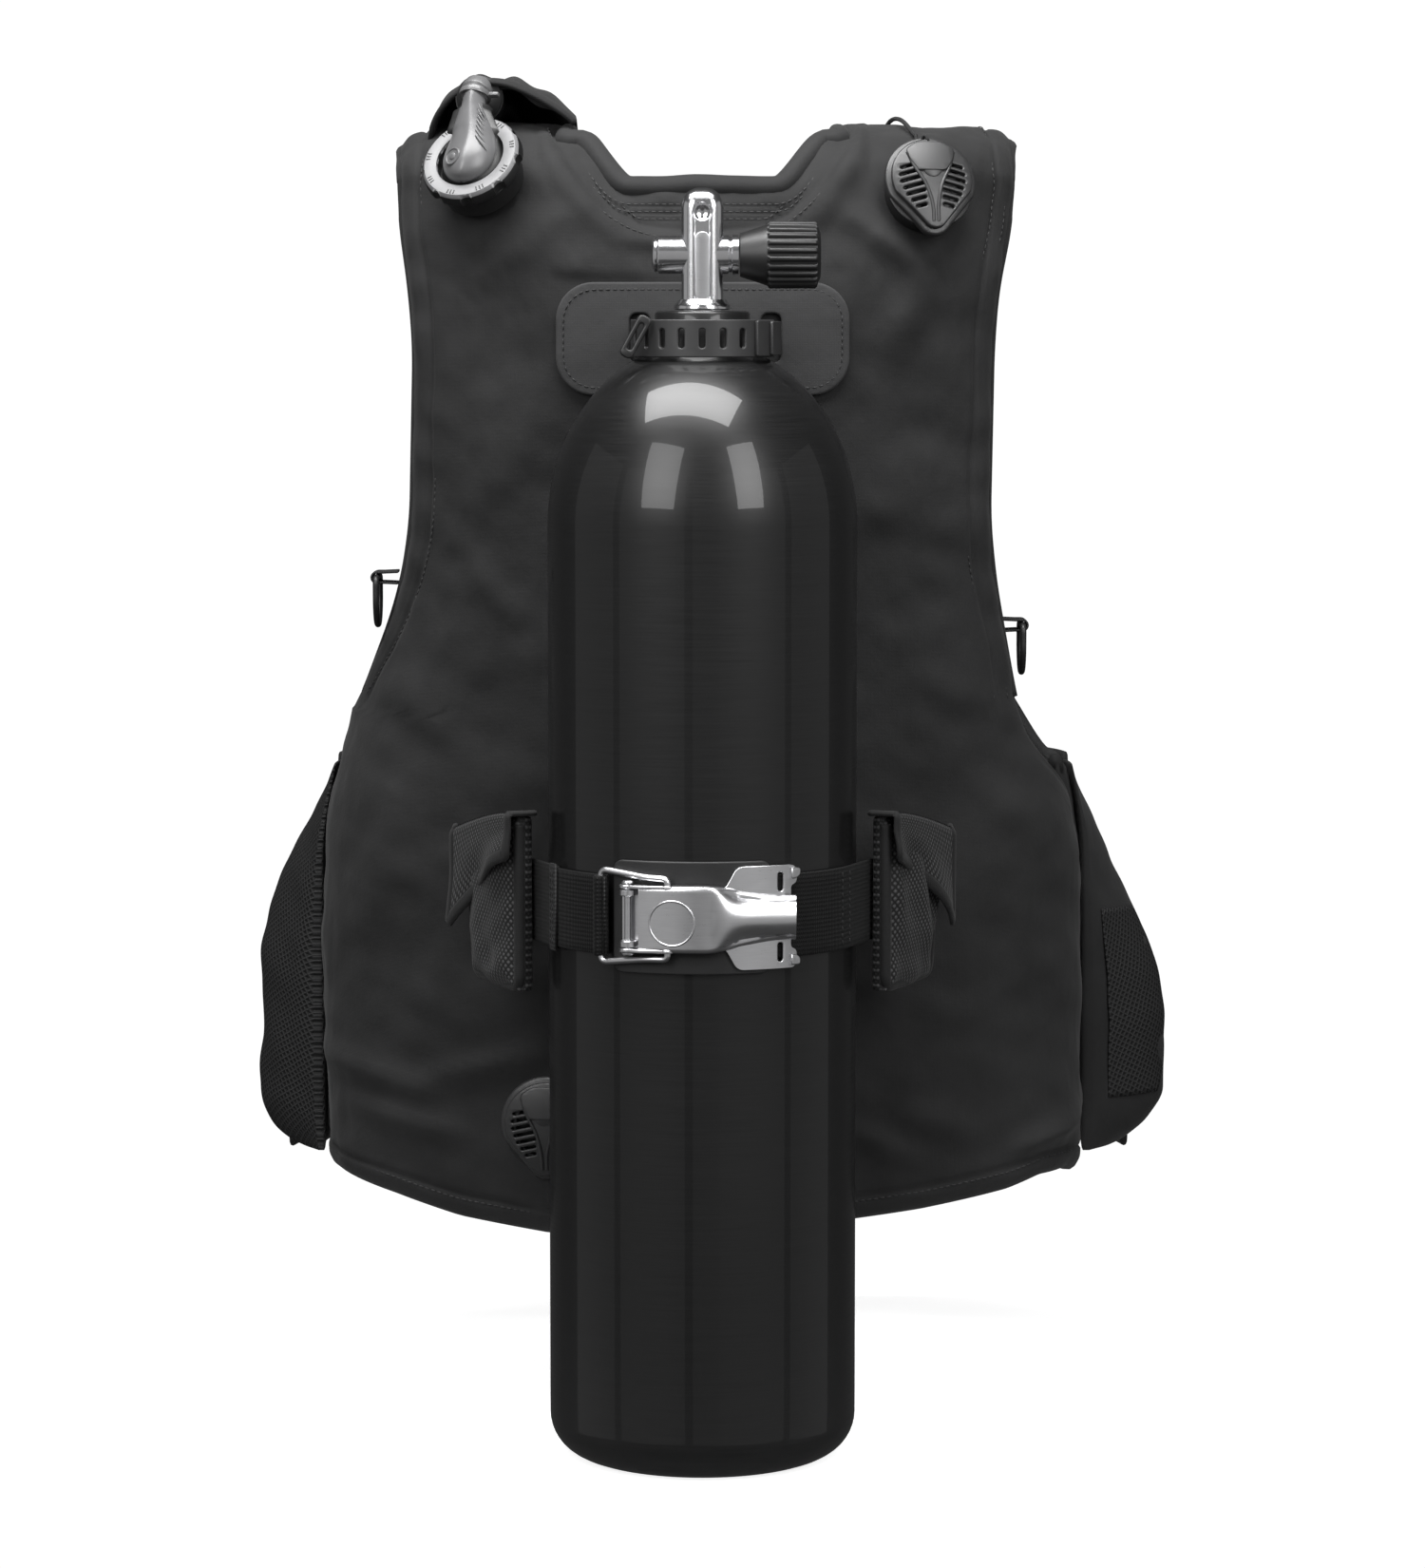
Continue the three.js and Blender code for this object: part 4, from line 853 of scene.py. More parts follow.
CHANNELS = (290, 375, 460, 545, 625)
BACK_FOLDS = [
    (96, 742, 138, 709, 9, 3.2), (138, 709, 112, 655, 12, 2.4), (-92, 742, -150, 700, 12, 2.6),
    (-150, 690, -165, 600, 14, 1.6), (150, 690, 172, 590, 13, 1.8), (-150, 540, -120, 500, 9, 1.5),
    (-244, 218, -166, 198, 9, 3.0), (-172, 208, -104, 225, 8, 2.6), (-225, 190, -150, 172, 8, 2.4),
    (95, 178, 128, 160, 7, 3.0), (120, 190, 170, 172, 10, 1.8), (198, 161, 242, 173, 7, 3.2),
    (204, 350, 202, 268, 8, 1.6), (178, 384, 214, 362, 13, 2.2), (160, 330, 172, 240, 12, 1.3),
    (-190, 380, -214, 300, 12, 1.8), (-160, 300, -176, 240, 12, 1.2), (-200, 460, -150, 420, 12, 1.8),
    (120, 470, 180, 440, 15, 1.6), (100, 560, 150, 600, 18, 1.4), (-100, 610, -150, 560, 16, 1.4),
]
HEM_LEFT = ((95, 112), (154, 121), (197, 132), (236, 140), (260, 144))
HEM_RIGHT = ((60, 118), (94, 121), (137, 126), (195, 135), (217, 141), (235, 141), (248, 131),
             (262, 140))
HEM_SEAM, ARM_SEAM = 15.0, 20.0
NECK_ROWS = (14.5, 19.0, 23.5)
ROLL_IN, RIM = 5.0, 4.0
COLLAR_ROWS = 26


def hem(x):
    """Height of the wavy lower edge."""
    left = np.interp(np.abs(x), *np.array(HEM_LEFT).T)
    right = np.interp(np.abs(x), *np.array(HEM_RIGHT).T)
    return np.where(x < 0, left, right)


def neck_top(x):
    """Height of the collar's free edge."""
    return 766 + 31 * ease(np.abs(x), 44, 76)


def below_neck(x, z):
    """Distance of a point below the collar's free edge, measured square to it."""
    slope = (neck_top(np.abs(x) + 0.5) - neck_top(np.abs(x) - 0.5))
    return (neck_top(x) - z) / np.sqrt(1 + slope ** 2)


def neck_seam(x):
    """Height of the curved seam between the back and the collar."""
    return 735 + 70 * (np.clip(np.abs(x), 0, 97) / 97) ** 3.1


def shell_relief(spots, away):
    """Folds, seams and the stepped collar of the back and shoulders."""
    x, y, z = spots.T
    behind = 1 - ease(y, 165, 215)
    total = (ripples(spots, 85, 1.5, 3) + ripples(spots, 26, 0.45, 4)
             + ripples(spots * (1, 1, 0.6), 9, 0.12, 5))
    total += 1.9 * folds(x, z, BACK_FOLDS) * (1 - ease(z, 740, 775)) * behind
    above = (z - neck_seam(x)) / np.sqrt(1 + (0.0215 * np.abs(x)) ** 2)
    near_neck = behind * (1 - ease(np.abs(x), 96, 104)) * ease(z, 715, 730)
    total += near_neck * (2.4 * bell(above, -8, 6) - 3.0 * ease(above, -1.0, 2.5)
                          - 2.0 * bell(above, 0, 1.5))
    for row in NECK_ROWS:
        total -= near_neck * ease(above, 1, 4) * 0.8 * bell(below_neck(x, z), row, 1.2)
    arm = ease(np.abs(x), 98, 112) * ease(z, 430, 470)
    total += arm * (1.0 * bell(away, 10, 5) - 1.7 * bell(away, ARM_SEAM, 1.6))
    low = z - hem(x)
    total += (1 - ease(z, 190, 220)) * (0.8 * bell(low, 8, 4) - 1.6 * bell(low, HEM_SEAM, 1.6))
    patch = (1 - ease(np.abs(x), 88, 100)) * ease(z, 626, 638) * (1 - ease(z, 702, 712))
    return mix(total, np.minimum(total, 0) * 0.3, patch)


def shell_grids():
    """The back's outer face up to the shoulders, then collar, left and right shoulder grids."""
    shares = np.concatenate([np.linspace(0, 0.048, 15)[:-1], np.linspace(0.048, 0.9, 112)[:-1],
                             np.linspace(0.9, 1, 40)])
    start = np.interp(BACK_TOP_Z, SHOULDER[:120, 1], SHOULDER_T[:120])
    crown = np.interp(neck_top(INNER_X), SHOULDER[:180, 1], SHOULDER_T[:180])
    side_share = 1 - (1 - np.linspace(0, 1, 60)) ** 1.35
    middle = np.linspace(-INNER_X, INNER_X, 92)

    def low_side(side):
        c = side_share[None]
        rough = mix(130.0, BACK_TOP_Z, shares)[:, None]
        x = torso(mix(back_f(INNER_X, rough, THICK), edge_f(rough, side), c), rough, THICK)[..., 0]
        z = mix(hem(side * x), BACK_TOP_Z, shares[:, None])
        inner, outer = back_f(INNER_X, z, THICK), edge_f(z, side)
        by_x = back_f(mix(INNER_X, torso(outer, z, THICK)[..., 0], c), z, THICK)
        f = mix(mix(inner, outer, c), by_x, ease(z, 430, 700))
        f = np.where(z > BACK_TOP_Z - 0.01, by_x, f)
        spots = torso(side * f, z, THICK)
        spots[..., 1] += lean(z)
        return spots

    def high_side(side):
        t = np.concatenate([np.linspace(start, crown, COLLAR_ROWS)[:-1],
                            np.linspace(crown, 1, 120)])[:, None]
        span = ease(t, 0.25, 0.75)
        outer = mix(edge_x(BACK_TOP_Z, side), 192.5 if side < 0 else 197, ease(t, start, start + 0.06))
        x = mix(mix(INNER_X, 76, span), mix(outer, 138, span), side_share[None])
        z = np.minimum(np.interp(t, SHOULDER_T, SHOULDER[:, 1]), 790)
        spots = mix(back(side * x, np.where(t <= start, BACK_TOP_Z, z)), over_shoulder(side * x, t, THICK),
                    ease(t, start, start + 0.09)[..., None])
        lift = ease(side_share[None], 0.4, 0.9) * bell(t, 0.27, 0.12) * ease(t, start, start + 0.1)
        spots[..., 2] += (9 if side > 0 else 4) * lift
        return spots

    t = np.linspace(start, crown, COLLAR_ROWS)[:, None]
    share = (np.interp(t, SHOULDER_T, SHOULDER[:, 1]) - BACK_TOP_Z) / (
        neck_top(INNER_X) - BACK_TOP_Z)
    x = middle[None] + 0 * t
    z = mix(BACK_TOP_Z, neck_top(x), np.clip(share, 0, 1))
    collar = back(x, z)
    for side in (-1, 1):
        column = high_side(side)[:COLLAR_ROWS, :1]
        shift = column - back(side * INNER_X, column[..., 2])
        shift[..., 0] = 0
        collar = collar + ease(side * x, 56, INNER_X)[..., None] * shift
    x_mid, z_mid = np.broadcast_arrays(middle[None], mix(hem(middle)[None], BACK_TOP_Z, shares[:, None]))
    return {"low_left": low_side(-1)[:, ::-1], "low_middle": back(x_mid, z_mid), "low_right": low_side(1),
            "collar": collar, "left": high_side(-1)[:, ::-1], "right": high_side(1)}


def surface_normals(grid, towards):
    """Directions square to a grid of points, on the side that towards points to."""
    normal = unit(np.cross(np.gradient(grid, axis=1), np.gradient(grid, axis=0)))
    flip = np.sum(normal * towards, -1, keepdims=True) < 0
    return np.where(flip, -normal, normal)


def inset(grid, normals, distance, from_end=False):
    """The line at a distance from a grid's first (or last) column, with its outward directions."""
    if from_end:
        grid, normals = grid[:, ::-1], normals[:, ::-1]
    spots, outs = [], []
    for row, out in zip(grid, normals):
        along = lengths(row)
        spots.append([np.interp(distance, along, row[:, k]) for k in range(3)])
        outs.append([np.interp(distance, along, out[:, k]) for k in range(3)])
    return np.array(spots), unit(outs)


def build_shell():
    """Back, collar band and shoulders as one sewn, softly padded shell with its edges bound."""
    grids = shell_grids()
    spots, faces, total = [], [], 0
    for grid in grids.values():
        rows, columns = grid.shape[:2]
        ids = np.arange(rows * columns).reshape(rows, columns) + total
        spots.append(grid.reshape(-1, 3))
        faces.append(grid_faces(ids))
        total += rows * columns
    spots, faces = welded(np.concatenate(spots), np.concatenate(faces))
    trunk = np.array([0.0, TORSO_Y, 640.0])
    faces = facing(spots, faces, lambda p: (p - trunk) * (1, 1, 0.6))
    points, quads = shell_thickness(spots, faces, 16, shell_relief)
    shell = make("vest_shell", points, quads, "vest", "vest_fabric",
                 ("back_panel", "left_shoulder_strap", "right_shoulder_strap", "collar_pad"))

    seams, middle = [], np.array([0.0, TORSO_Y, 560.0])
    for name, low, high in (("left", grids["low_left"], grids["left"]),
                            ("right", grids["low_right"][:, ::-1], grids["right"][:, ::-1])):
        column = np.concatenate([low, high[1:]], 0)
        normals = surface_normals(column, column - middle)
        keep = (column[:, 0, 2] > 442) | (np.arange(len(column)) >= len(low))
        edge, out = column[keep, 0], normals[keep, 0]
        inward = unit(inset(column[keep], normals[keep], 12)[0] - edge)
        path = edge + inward * 4.0 - out * (ROLL_IN + RIM / 2 - 0.5)
        binding(f"{name}_armhole_binding", path, oval(15, 9.5, 14, 0.75), out)
        for distance in (11.5, ARM_SEAM + 3.5):
            line, up = inset(column[keep], normals[keep], distance)
            seams.append((line + up * (0.35 if distance > 15 else -0.2), up))

    def around_neck(left, collar, right):
        return resampled(np.concatenate([left[:COLLAR_ROWS - 1:-1, -1], collar[-1],
                                         right[COLLAR_ROWS:, 0]]), 260)

    upper = [grids[key] for key in ("left", "collar", "right")]
    neckline = around_neck(*upper)
    outs = unit(around_neck(*[surface_normals(grid, grid - middle) for grid in upper]))
    centre = np.abs(np.linspace(-1, 1, len(neckline)))
    beyond = ease(centre, 0.25, 0.34)
    thick = mix(1.0, 0.6, beyond)
    path = neckline - outs * (8.5 * thick + 3.5 * beyond)[:, None]
    roll, quads, uv = swept(path, oval(15, 19, 20, 0.85), outs, scale=thick)
    roll = roll + ripples(roll, 30, 0.35, 11)[:, None] * np.repeat(outs, 20, 0)
    collar = make("collar_roll", roll, quads, "collar", "collar_fabric", uv=uv)

    x = np.linspace(-97, 97, 120)
    line = back(x, neck_seam(x) - 4.5, THICK + 1.6)
    seams.append((line, outward(back, x, neck_seam(x) - 4.5)))
    x = np.linspace(-76, 76, 240)
    slope = np.gradient(neck_top(x), x)
    for row in NECK_ROWS:
        across = x + row * slope / np.sqrt(1 + slope ** 2)
        up = neck_top(x) - row / np.sqrt(1 + slope ** 2)
        shown = (up > neck_seam(across) + 3) & (np.abs(across) < 92)
        line = back(across[shown], up[shown], THICK - 1.6)
        seams.append((line, outward(back, across[shown], up[shown])))
    x = np.linspace(-236, 236, 200)
    line = back(x, hem(x) + HEM_SEAM - 3, THICK + 0.6)
    seams.append((line, outward(back, x, hem(x) + HEM_SEAM - 3)))
    stitches("shell_stitching", seams)


# ---------------------------------------------------------------- cylinder and valve


def build_cylinder():
    edge = np.radians(np.linspace(0, 90, 12))
    dome = np.linspace(0, math.acos(TANK_NECK_RADIUS / TANK_RADIUS), 36)
    profile = [(0.0, 0.0), (40.0, 0.0)]
    profile += [(67 + 25 * math.sin(a), 25 * (1 - math.cos(a))) for a in edge]
    profile += [(TANK_RADIUS, z) for z in np.linspace(45, 550, 24)]
    profile += [(TANK_RADIUS * math.cos(a), TANK_SHOULDER_Z + TANK_DOME * math.sin(a)) for a in dome]
    profile += [(28.6, 668), (28.2, 684.6), (26.8, TANK_NECK_TOP), (13, TANK_NECK_TOP), (12.6, 684),
                (12.6, 640), (0, 640)]
    spots, faces = turned(profile, 160)
    make("cylinder", spots, faces, "tank", "cylinder_paint", "cylinder_shell", sharp=50)


def build_valve():
    at = np.array([0, 0, VALVE_Z])
    arm, outlet = at + (0, 0, 32.5), at + (0, 0, 52.5)
    square = rounded_outline(25, 25, 8.2, 8)
    heights = [(0, 1), (1.2, 1), *[(z, 1) for z in np.linspace(4, 60, 15)]]
    heights += [(60 + 12 * math.sin(a), math.cos(a) ** 0.8) for a in np.radians(np.linspace(6, 84, 10))]
    post = loft([np.column_stack([square * s, np.full(len(square), z)]) + at for z, s in heights])
    body = make("valve_body_shell", *post, "chrome", "valve_chrome", "valve_body", sharp=35)
    panel = plate([rounded_outline(9.6, 61, 4.2, 6)], 5, 0.8)
    ball = turned([(0.01, -7), *[(7 * math.cos(a), 7 * math.sin(a)) for a in
                                 np.radians(np.linspace(-80, 80, 11))], (0.01, 7)], 24)
    groove = turned([(8.9, 0), (11.4, 0), (11.4, 3), (8.9, 3), (8.9, 0)], 40)
    bore = turned([(0.01, 0), (4, 0), (4, 8), (0.01, 8)], 24)
    carve(body, moved(panel, to_back(at + (0, -13.6, 33))), moved(ball, to_back(at + (0, -16, 57))),
          moved(groove, to_front(outlet + (0, 10.6, 0))), moved(bore, to_front(outlet + (0, 7, 0))))
    bevelled(body, 0.5)

    left = turned([(0, -26.5), (10.6, -26.5), (11.4, -25.8), (11.4, -8), (0, -8)], 64)
    right = turned([(0, 8), (11.6, 8), (11.6, 15.4), (10.6, 16.0), (10.6, 17.2), (11.8, 17.8), (11.8, 21.4),
                    (0, 21.4)], 64)
    foot = turned([(0, 0.4), (15.5, 0.4), (17, 0.9), (17, 2.6), (15.6, 4.4), (14.2, 6.4), (0, 6.4)], 56)
    arms = moved(joined_parts([left, right]), to_right(arm))
    make("valve_arms", *joined_parts([arms, moved(foot, at)]), "chrome", "valve_chrome", "valve_bonnet",
         sharp=40)
    plug = turned([(0, -29.8), (7.6, -29.8), (9.6, -29.2), (10.4, -28.2), (10.4, -26.9), (9.6, -26.5),
                   (0, -26.5)], 48)
    make("burst_disc_nut", *moved(plug, to_right(arm)), "chrome", "valve_chrome", "burst_disc_plug", sharp=35)
    fill = plate([rounded_outline(8.4, 40, 3.6, 6)], 1.0, 0.3)
    make("valve_cast_panel", *moved(fill, to_back(at + (0, -11.4, 26))), "steel", "valve_chrome", sharp=35)

    a = np.linspace(0, 2 * math.pi, 48, endpoint=False)
    circle = np.column_stack([9.9 * np.cos(a), 9.9 * np.sin(a), 0 * a])
    seal = swept(circle, oval(2.6, 2.6, 12), np.tile((0, 0, 1.0), (48, 1)), closed=True)[:2]
    make("outlet_seal", *moved(seal, to_front(outlet + (0, 12.4, 0))), "rubber", "soft_rubber",
         "outlet_o_ring")

    ribs, sections = 24, []
    turn = np.linspace(0, 2 * math.pi, ribs * 8, endpoint=False)
    tooth = np.tile([0, 0.04, 0.75, 1, 1, 1, 0.75, 0.04], ribs)
    profile = [(0.2, 12.6, 0), (1.0, 13.0, 0), (14, 17.2, 0), (15.6, 17.9, 0), (16.2, 18.0, 0),
               (16.8, 18.0, 0.8), (17.6, 18.0, 1.75), (44.6, 18.0, 1.75), (45.6, 17.8, 1.2),
               (46.2, 17.0, 0.3), (46.6, 15.8, 0), (47.6, 13.6, 0), (47.9, 12.0, 0), (46.9, 11.0, 0)]
    for height, radius, depth in profile:
        r = radius + depth * tooth
        sections.append(np.column_stack([r * np.cos(turn), r * np.sin(turn), np.full(len(turn), height)]))
    make("handwheel", *moved(loft(sections), to_right(arm + (22, 0, 0))), "grip", "handwheel_rubber",
         "valve_handwheel", body="handwheel", sharp=38)


# ---------------------------------------------------------------- neck panel and strap


def build_neck_panel():
    outline = rounded_outline(180, 69, 23, 10)
    slots = [rounded_outline(12.6, 30, 4.5, 5, (x, 0.5)) for x in (-38.5, 41.8)]

    def place(p):
        return back(p[:, 0], PATCH_Z + p[:, 1], THICK + 2.4 + p[:, 2] + ripples(p, 40, 0.25, 21))

    spots, faces = plate([outline, *slots], 3.6, 1.2, (6, 6), place)
    make("neck_patch", spots, faces, "patch", "grey_patch", "neck_panel", sharp=60)
    ring = rounded_outline(171, 60, 19, 10)
    ring = resampled(np.concatenate([ring, ring[:1]]), 150)
    x, z = ring[:, 0], ring[:, 1] + PATCH_Z
    stitches("neck_patch_stitching", [(back(x, z, THICK + 4.3), outward(back, x, z))])


def along_strap(p, proud=0.0):
    """Lays a flat strap (x along it from its middle) round the cylinder's neck and back to the vest."""
    bend = STRAP_RADIUS * math.pi / 2
    angle = np.clip(p[:, 0], -bend, bend) / STRAP_RADIUS
    straight = np.maximum(np.abs(p[:, 0]) - bend, 0)
    r = STRAP_RADIUS + proud + p[:, 2]
    return np.stack([r * np.sin(angle), -r * np.cos(angle) + straight, STRAP_Z + p[:, 1]], -1)


def build_neck_strap():
    outline = rounded_outline(STRAP_RADIUS * math.pi + 2 * 95.6, 22, 2.5, 4)
    slots = [rounded_outline(3.6, 11.5, 1.7, 4, (i * 12.1, 0)) for i in range(-4, 5)]
    strap = plate([outline, *slots], 3.2, 0.7, (3, 0), along_strap)
    make("slotted_neck_strap", *strap, "strap", "strap_rubber", "neck_strap", sharp=35)
    layers = []
    for i, (start, end) in enumerate(((33, 52), (44, 60))):
        lip = plate([rounded_outline(end - start, 21 - i, 1.4, 3)], 2.2, 0.6, (3, 0))
        lip = moved(lip, np.array([(start + end) / 2, 0, 0]))
        layers.append((along_strap(lip[0], 2.8 + 2.2 * i), lip[1]))
    make("neck_strap_folds", *joined_parts(layers), "strap", "strap_rubber", sharp=35)

    bar = plate([rounded_outline(8.6, 27, 3.2, 6), rounded_outline(2.6, 17, 1.2, 4)], 5, 1.1)
    place = basis((-39, -33.6, 671), (0.88, -0.05, -0.48), (0.48, 0.0, 0.88), (0.03, -1, 0))
    make("strap_clip_bar", *moved(bar, place), "plastic", "black_plastic", "neck_strap_clip", sharp=35)


# ---------------------------------------------------------------- cam band and buckle

BAND_ANGLE = math.radians(BAND_LEAVE)


def beside_band(side, s, out):
    """Point beside the band's straight run: s along it, out away from the cylinder."""
    radius = BAND_IN + out
    return np.stack([side * (radius * math.sin(BAND_ANGLE) + s * math.cos(BAND_ANGLE)),
                     -radius * math.cos(BAND_ANGLE) + s * math.sin(BAND_ANGLE)], -1)


def band_route(side, start):
    """Centre line of one run of the band, seen from above."""
    middle = (BAND_OUT - BAND_IN) / 2
    round_part = arc((0, 0), BAND_IN + middle, side * start, side * BAND_LEAVE, 30)
    straight = beside_band(side, np.linspace(1.5, BAND_RUN, 40), np.full(40, middle))
    return np.concatenate([round_part, straight])


def band_piece(name, route, width, thick, look, slot, **options):
    """Webbing laid on edge along a route in plan, with rounded selvedges."""
    route = resampled(route, max(int(lengths(route)[-1] / 2.5), 8))
    path = np.column_stack([route, np.full(len(route), BAND_Z)])
    out = np.cross(directions(path), (0, 0, 1.0))
    half, edge = width / 2, thick / 2
    top = np.column_stack([np.linspace(-half + 1, half - 1, 12), np.full(12, edge)])
    section = np.concatenate([top, [(half - 0.3, edge * 0.75), (half, 0), (half - 0.3, -edge * 0.75)],
                              top[::-1] * (1, -1),
                              [(-half + 0.3, -edge * 0.75), (-half, 0), (-half + 0.3, edge * 0.75)]])
    spots, faces, uv = swept(path, section, out)
    make(name, spots, faces, look, slot, uv=uv, **options)


def build_band():
    thick = BAND_OUT - BAND_IN
    for name, side, start in (("right", 1, 26), ("left", -1, 64.6)):
        band_piece(f"band_{name}_run", band_route(side, start), 2 * BAND_HALF, thick, "band",
                   "band_webbing", nodes=f"band_{name}")
    bar_angle = math.degrees(math.atan2(BAIL_BAR[0], -BAIL_BAR[1]))
    run = arc((0, 0), 94.3, -64.2, bar_angle + 0.6, 16)
    way = unit(run[-1] - run[-2])
    loop = [np.array(BAIL_BAR) + 3.7 * np.array([math.cos(a), math.sin(a)])
            for a in np.radians(np.linspace(238, -62, 26))]
    band_piece("band_end_loop", np.concatenate([run, [run[-1] + way * 1.2], loop]), 2 * BAND_HALF - 2,
               1.9, "band", "band_webbing", nodes="band_end", body="band_end")
    keeper = arc((0, 0), 96.6, -63.2, -67.8, 8)
    band_piece("band_keeper_tab", keeper, 2 * BAND_HALF + 3, 1.8, "harness", "harness_webbing")
    rows = []
    for side, start, end in ((-1, -65, -66.8), (1, 60, 66)):
        for turn in (start, end):
            x, y = arc((0, 0), 97.7 if side < 0 else 95.4, turn, turn, 1)[0]
            z = np.linspace(BAND_Z - 22, BAND_Z + 22, 12)
            rows.append((np.column_stack([np.full(12, x), np.full(12, y), z]),
                         np.tile(unit((x, y, 0)), (12, 1))))
    stitches("band_stitching", rows, pitch=3.4, slot="band_webbing")


def on_cylinder(radius, middle_angle=0.0):
    """Wraps a flat plate round the cylinder: x runs round it, y up it, z out of it."""
    def place(p):
        angle = math.radians(middle_angle) + p[:, 0] / radius
        r = radius + p[:, 2]
        return np.column_stack([r * np.sin(angle), -r * np.cos(angle), BAND_Z + p[:, 1]])
    return place


def on_lever(x, radius):
    """Y of the cam lever's curved face at x."""
    return LEVER_CENTRE[1] - np.sqrt(radius ** 2 - (x - LEVER_CENTRE[0]) ** 2)


def lever_section(half, corner, wall, share):
    """Half of a folded channel: height from the middle and depth below its face, at a share."""
    flat, turn = half - corner, corner * math.pi / 2
    run = share * (flat + turn + wall)
    angle = np.clip((run - flat) / np.maximum(corner, 1e-6), 0, math.pi / 2)
    height = np.minimum(run, flat) + corner * np.sin(angle)
    depth = corner * (1 - np.cos(angle)) + np.maximum(run - flat - turn, 0)
    return height, depth


def build_cam_buckle():
    pad, faces = plate([rounded_outline(95, 66, 6, 5)], 2.4, 0.9, (3, 0), on_cylinder(94.2, -4))
    make("band_pad", pad, faces, "rubber", "soft_rubber", "buckle_pad", sharp=50)

    r = BAND_OUT + 1.4
    left, waist, right = (math.radians(a) * r for a in (-28, 10, 34))
    outline = softened([(left, 0), (left, 17), (waist - 3, 17), (waist + 4, 29.5), (right - 2, 29.5),
                        (right, 27), (right, 20), (right - 4, 18.5), (right - 4, -18.5), (right, -20),
                        (right, -27), (right - 2, -29.5), (waist + 4, -29.5), (waist - 3, -17),
                        (left, -17), (left, -0.01)], 3.5, 5)
    slot_x = math.asin(45 / r) * r
    slots = [rounded_outline(3.6, 11, 1.5, 4, (slot_x, way * 20.5)) for way in (-1, 1)]
    parts = [plate([outline, *slots], 2.0, 0.5, (3, 0), on_cylinder(r))]
    for way in (-1, 1):
        lug = turned([(0, 13), (4.2, 13), (4.8, 13.5), (4.8, 16.4), (4.2, 16.9), (0, 16.9)], 32)
        parts.append((lug[0] * (1, 1, way) + (*LEVER_PIVOT, BAND_Z), lug[1]))
        hook = softened([(right - 4, way * 22), (right - 1, way * 22), (right + 2.6, way * 24),
                         (right + 2.6, way * 28.5), (right - 4, way * 28.5)], 2, 4)
        parts.append(plate([hook], 4.2, 0.9, (2, 0), on_cylinder(r + 1.2)))
    make("buckle_plate", *joined_parts(parts), "steel", "buckle_steel", "buckle_base", sharp=35)

    pin = turned([(0, -22), (2.6, -21.8), (3.5, -21), (3.6, -20.2), (2, -20.1), (2, 20.1), (3.6, 20.2),
                  (3.5, 21), (2.6, 21.8), (0, 22)], 28)
    make("lever_hinge_pin", *moved(pin, (*LEVER_PIVOT, BAND_Z)), "steel", "buckle_steel", "lever_pin",
         sharp=40)

    tip = np.array([10.5, -106.0])
    xs = np.concatenate([np.linspace(-37, 4, 30)[:-1], np.linspace(4, 18, 16)[:-1],
                         np.linspace(18, 54.5, 24)])
    shares = np.linspace(-1, 1, 41)
    sheets = []
    for inside in (0.0, 2.0):
        rows = []
        for x in xs:
            half = mix(LEVER_HALF, 13.0, float(ease(x, 0, 48)))
            wall = mix(4.5, 0.6, float(ease(x, 2, 17))) * (1 - 0.5 * float(ease(-x, 28, 37)))
            height, depth = lever_section(half - inside, 2.6 - 0.6 * inside, wall, np.abs(shares))
            crest = mix(half, 10.6, float(ease(x, 2, 30)))
            lap = np.clip(height / crest, 0, 1)
            depth = depth + 7.5 * float(ease(x, 3, 22)) * (1 - np.sqrt(1 - lap ** 2))
            face = mix(on_lever(min(x, 30), LEVER_RADIUS), tip[1] + (x - tip[0]) * 0.204,
                       float(ease(x, 4, 16)))
            rows.append(np.column_stack([np.full(41, x), face + inside + depth,
                                         BAND_Z + np.sign(shares) * height]))
        sheets.append(np.array(rows))
    parts = [between_sheets(*sheets)]
    for way in (-1, 1):
        eye = turned([(0, 17.5), (4.6, 17.5), (5.1, 17.9), (5.1, 19.2), (4.6, 19.6), (0, 19.6)], 32)
        for spot, size in ((LEVER_PIVOT, 1.0), (BAIL_PIVOT, 0.8)):
            parts.append((eye[0] * (size, size, way) + (*spot, BAND_Z), eye[1]))
        cheek = softened([(-43, -91.4), (-44, -96), (-36, -99.5), (-26, -101), (-18, -102.5), (-16, -97.6),
                          (-28, -93.5), (-42.9, -88.6), (-43, -91.4)], 2, 3)
        parts.append(moved(plate([cheek[:-1]], 2.0, 0.4), (0, 0, BAND_Z + way * 18.6)))
    make("lever_plate", *joined_parts(parts), "steel", "buckle_steel", "cam_lever", body="cam_lever",
         sharp=35)
    a = np.linspace(0, 2 * math.pi, 72, endpoint=False)
    x, z = -17.6 + 13 * np.cos(a), -2 + 13 * np.sin(a)
    ring = np.column_stack([x, on_lever(x, LEVER_RADIUS + 0.15), BAND_Z + z])
    ring = swept(ring, oval(1.3, 0.8, 10), np.tile((0, -1.0, 0), (72, 1)), closed=True)
    make("lever_ring_mark", *ring[:2], "steel", "buckle_steel", body="cam_lever")

    corner = np.array([*BAIL_BAR, 0])
    legs = []
    for way in (1, -1):
        legs.append([np.array([*BAIL_PIVOT, way * 17]), np.array([*BAIL_PIVOT, way * 23.4]),
                     np.array([-33, -93.8, way * 23.8]), corner + (0, 0, way * 27.2)])
    route = softened(legs[0] + legs[1][::-1], 4.5, 7) + (0, 0, BAND_Z)
    tube("bail_wire", resampled(route, 150), WIRE, "steel", "buckle_steel", 16, nodes="wire_bail",
         body="wire_bail")


# ---------------------------------------------------------------- front, cushion and pockets


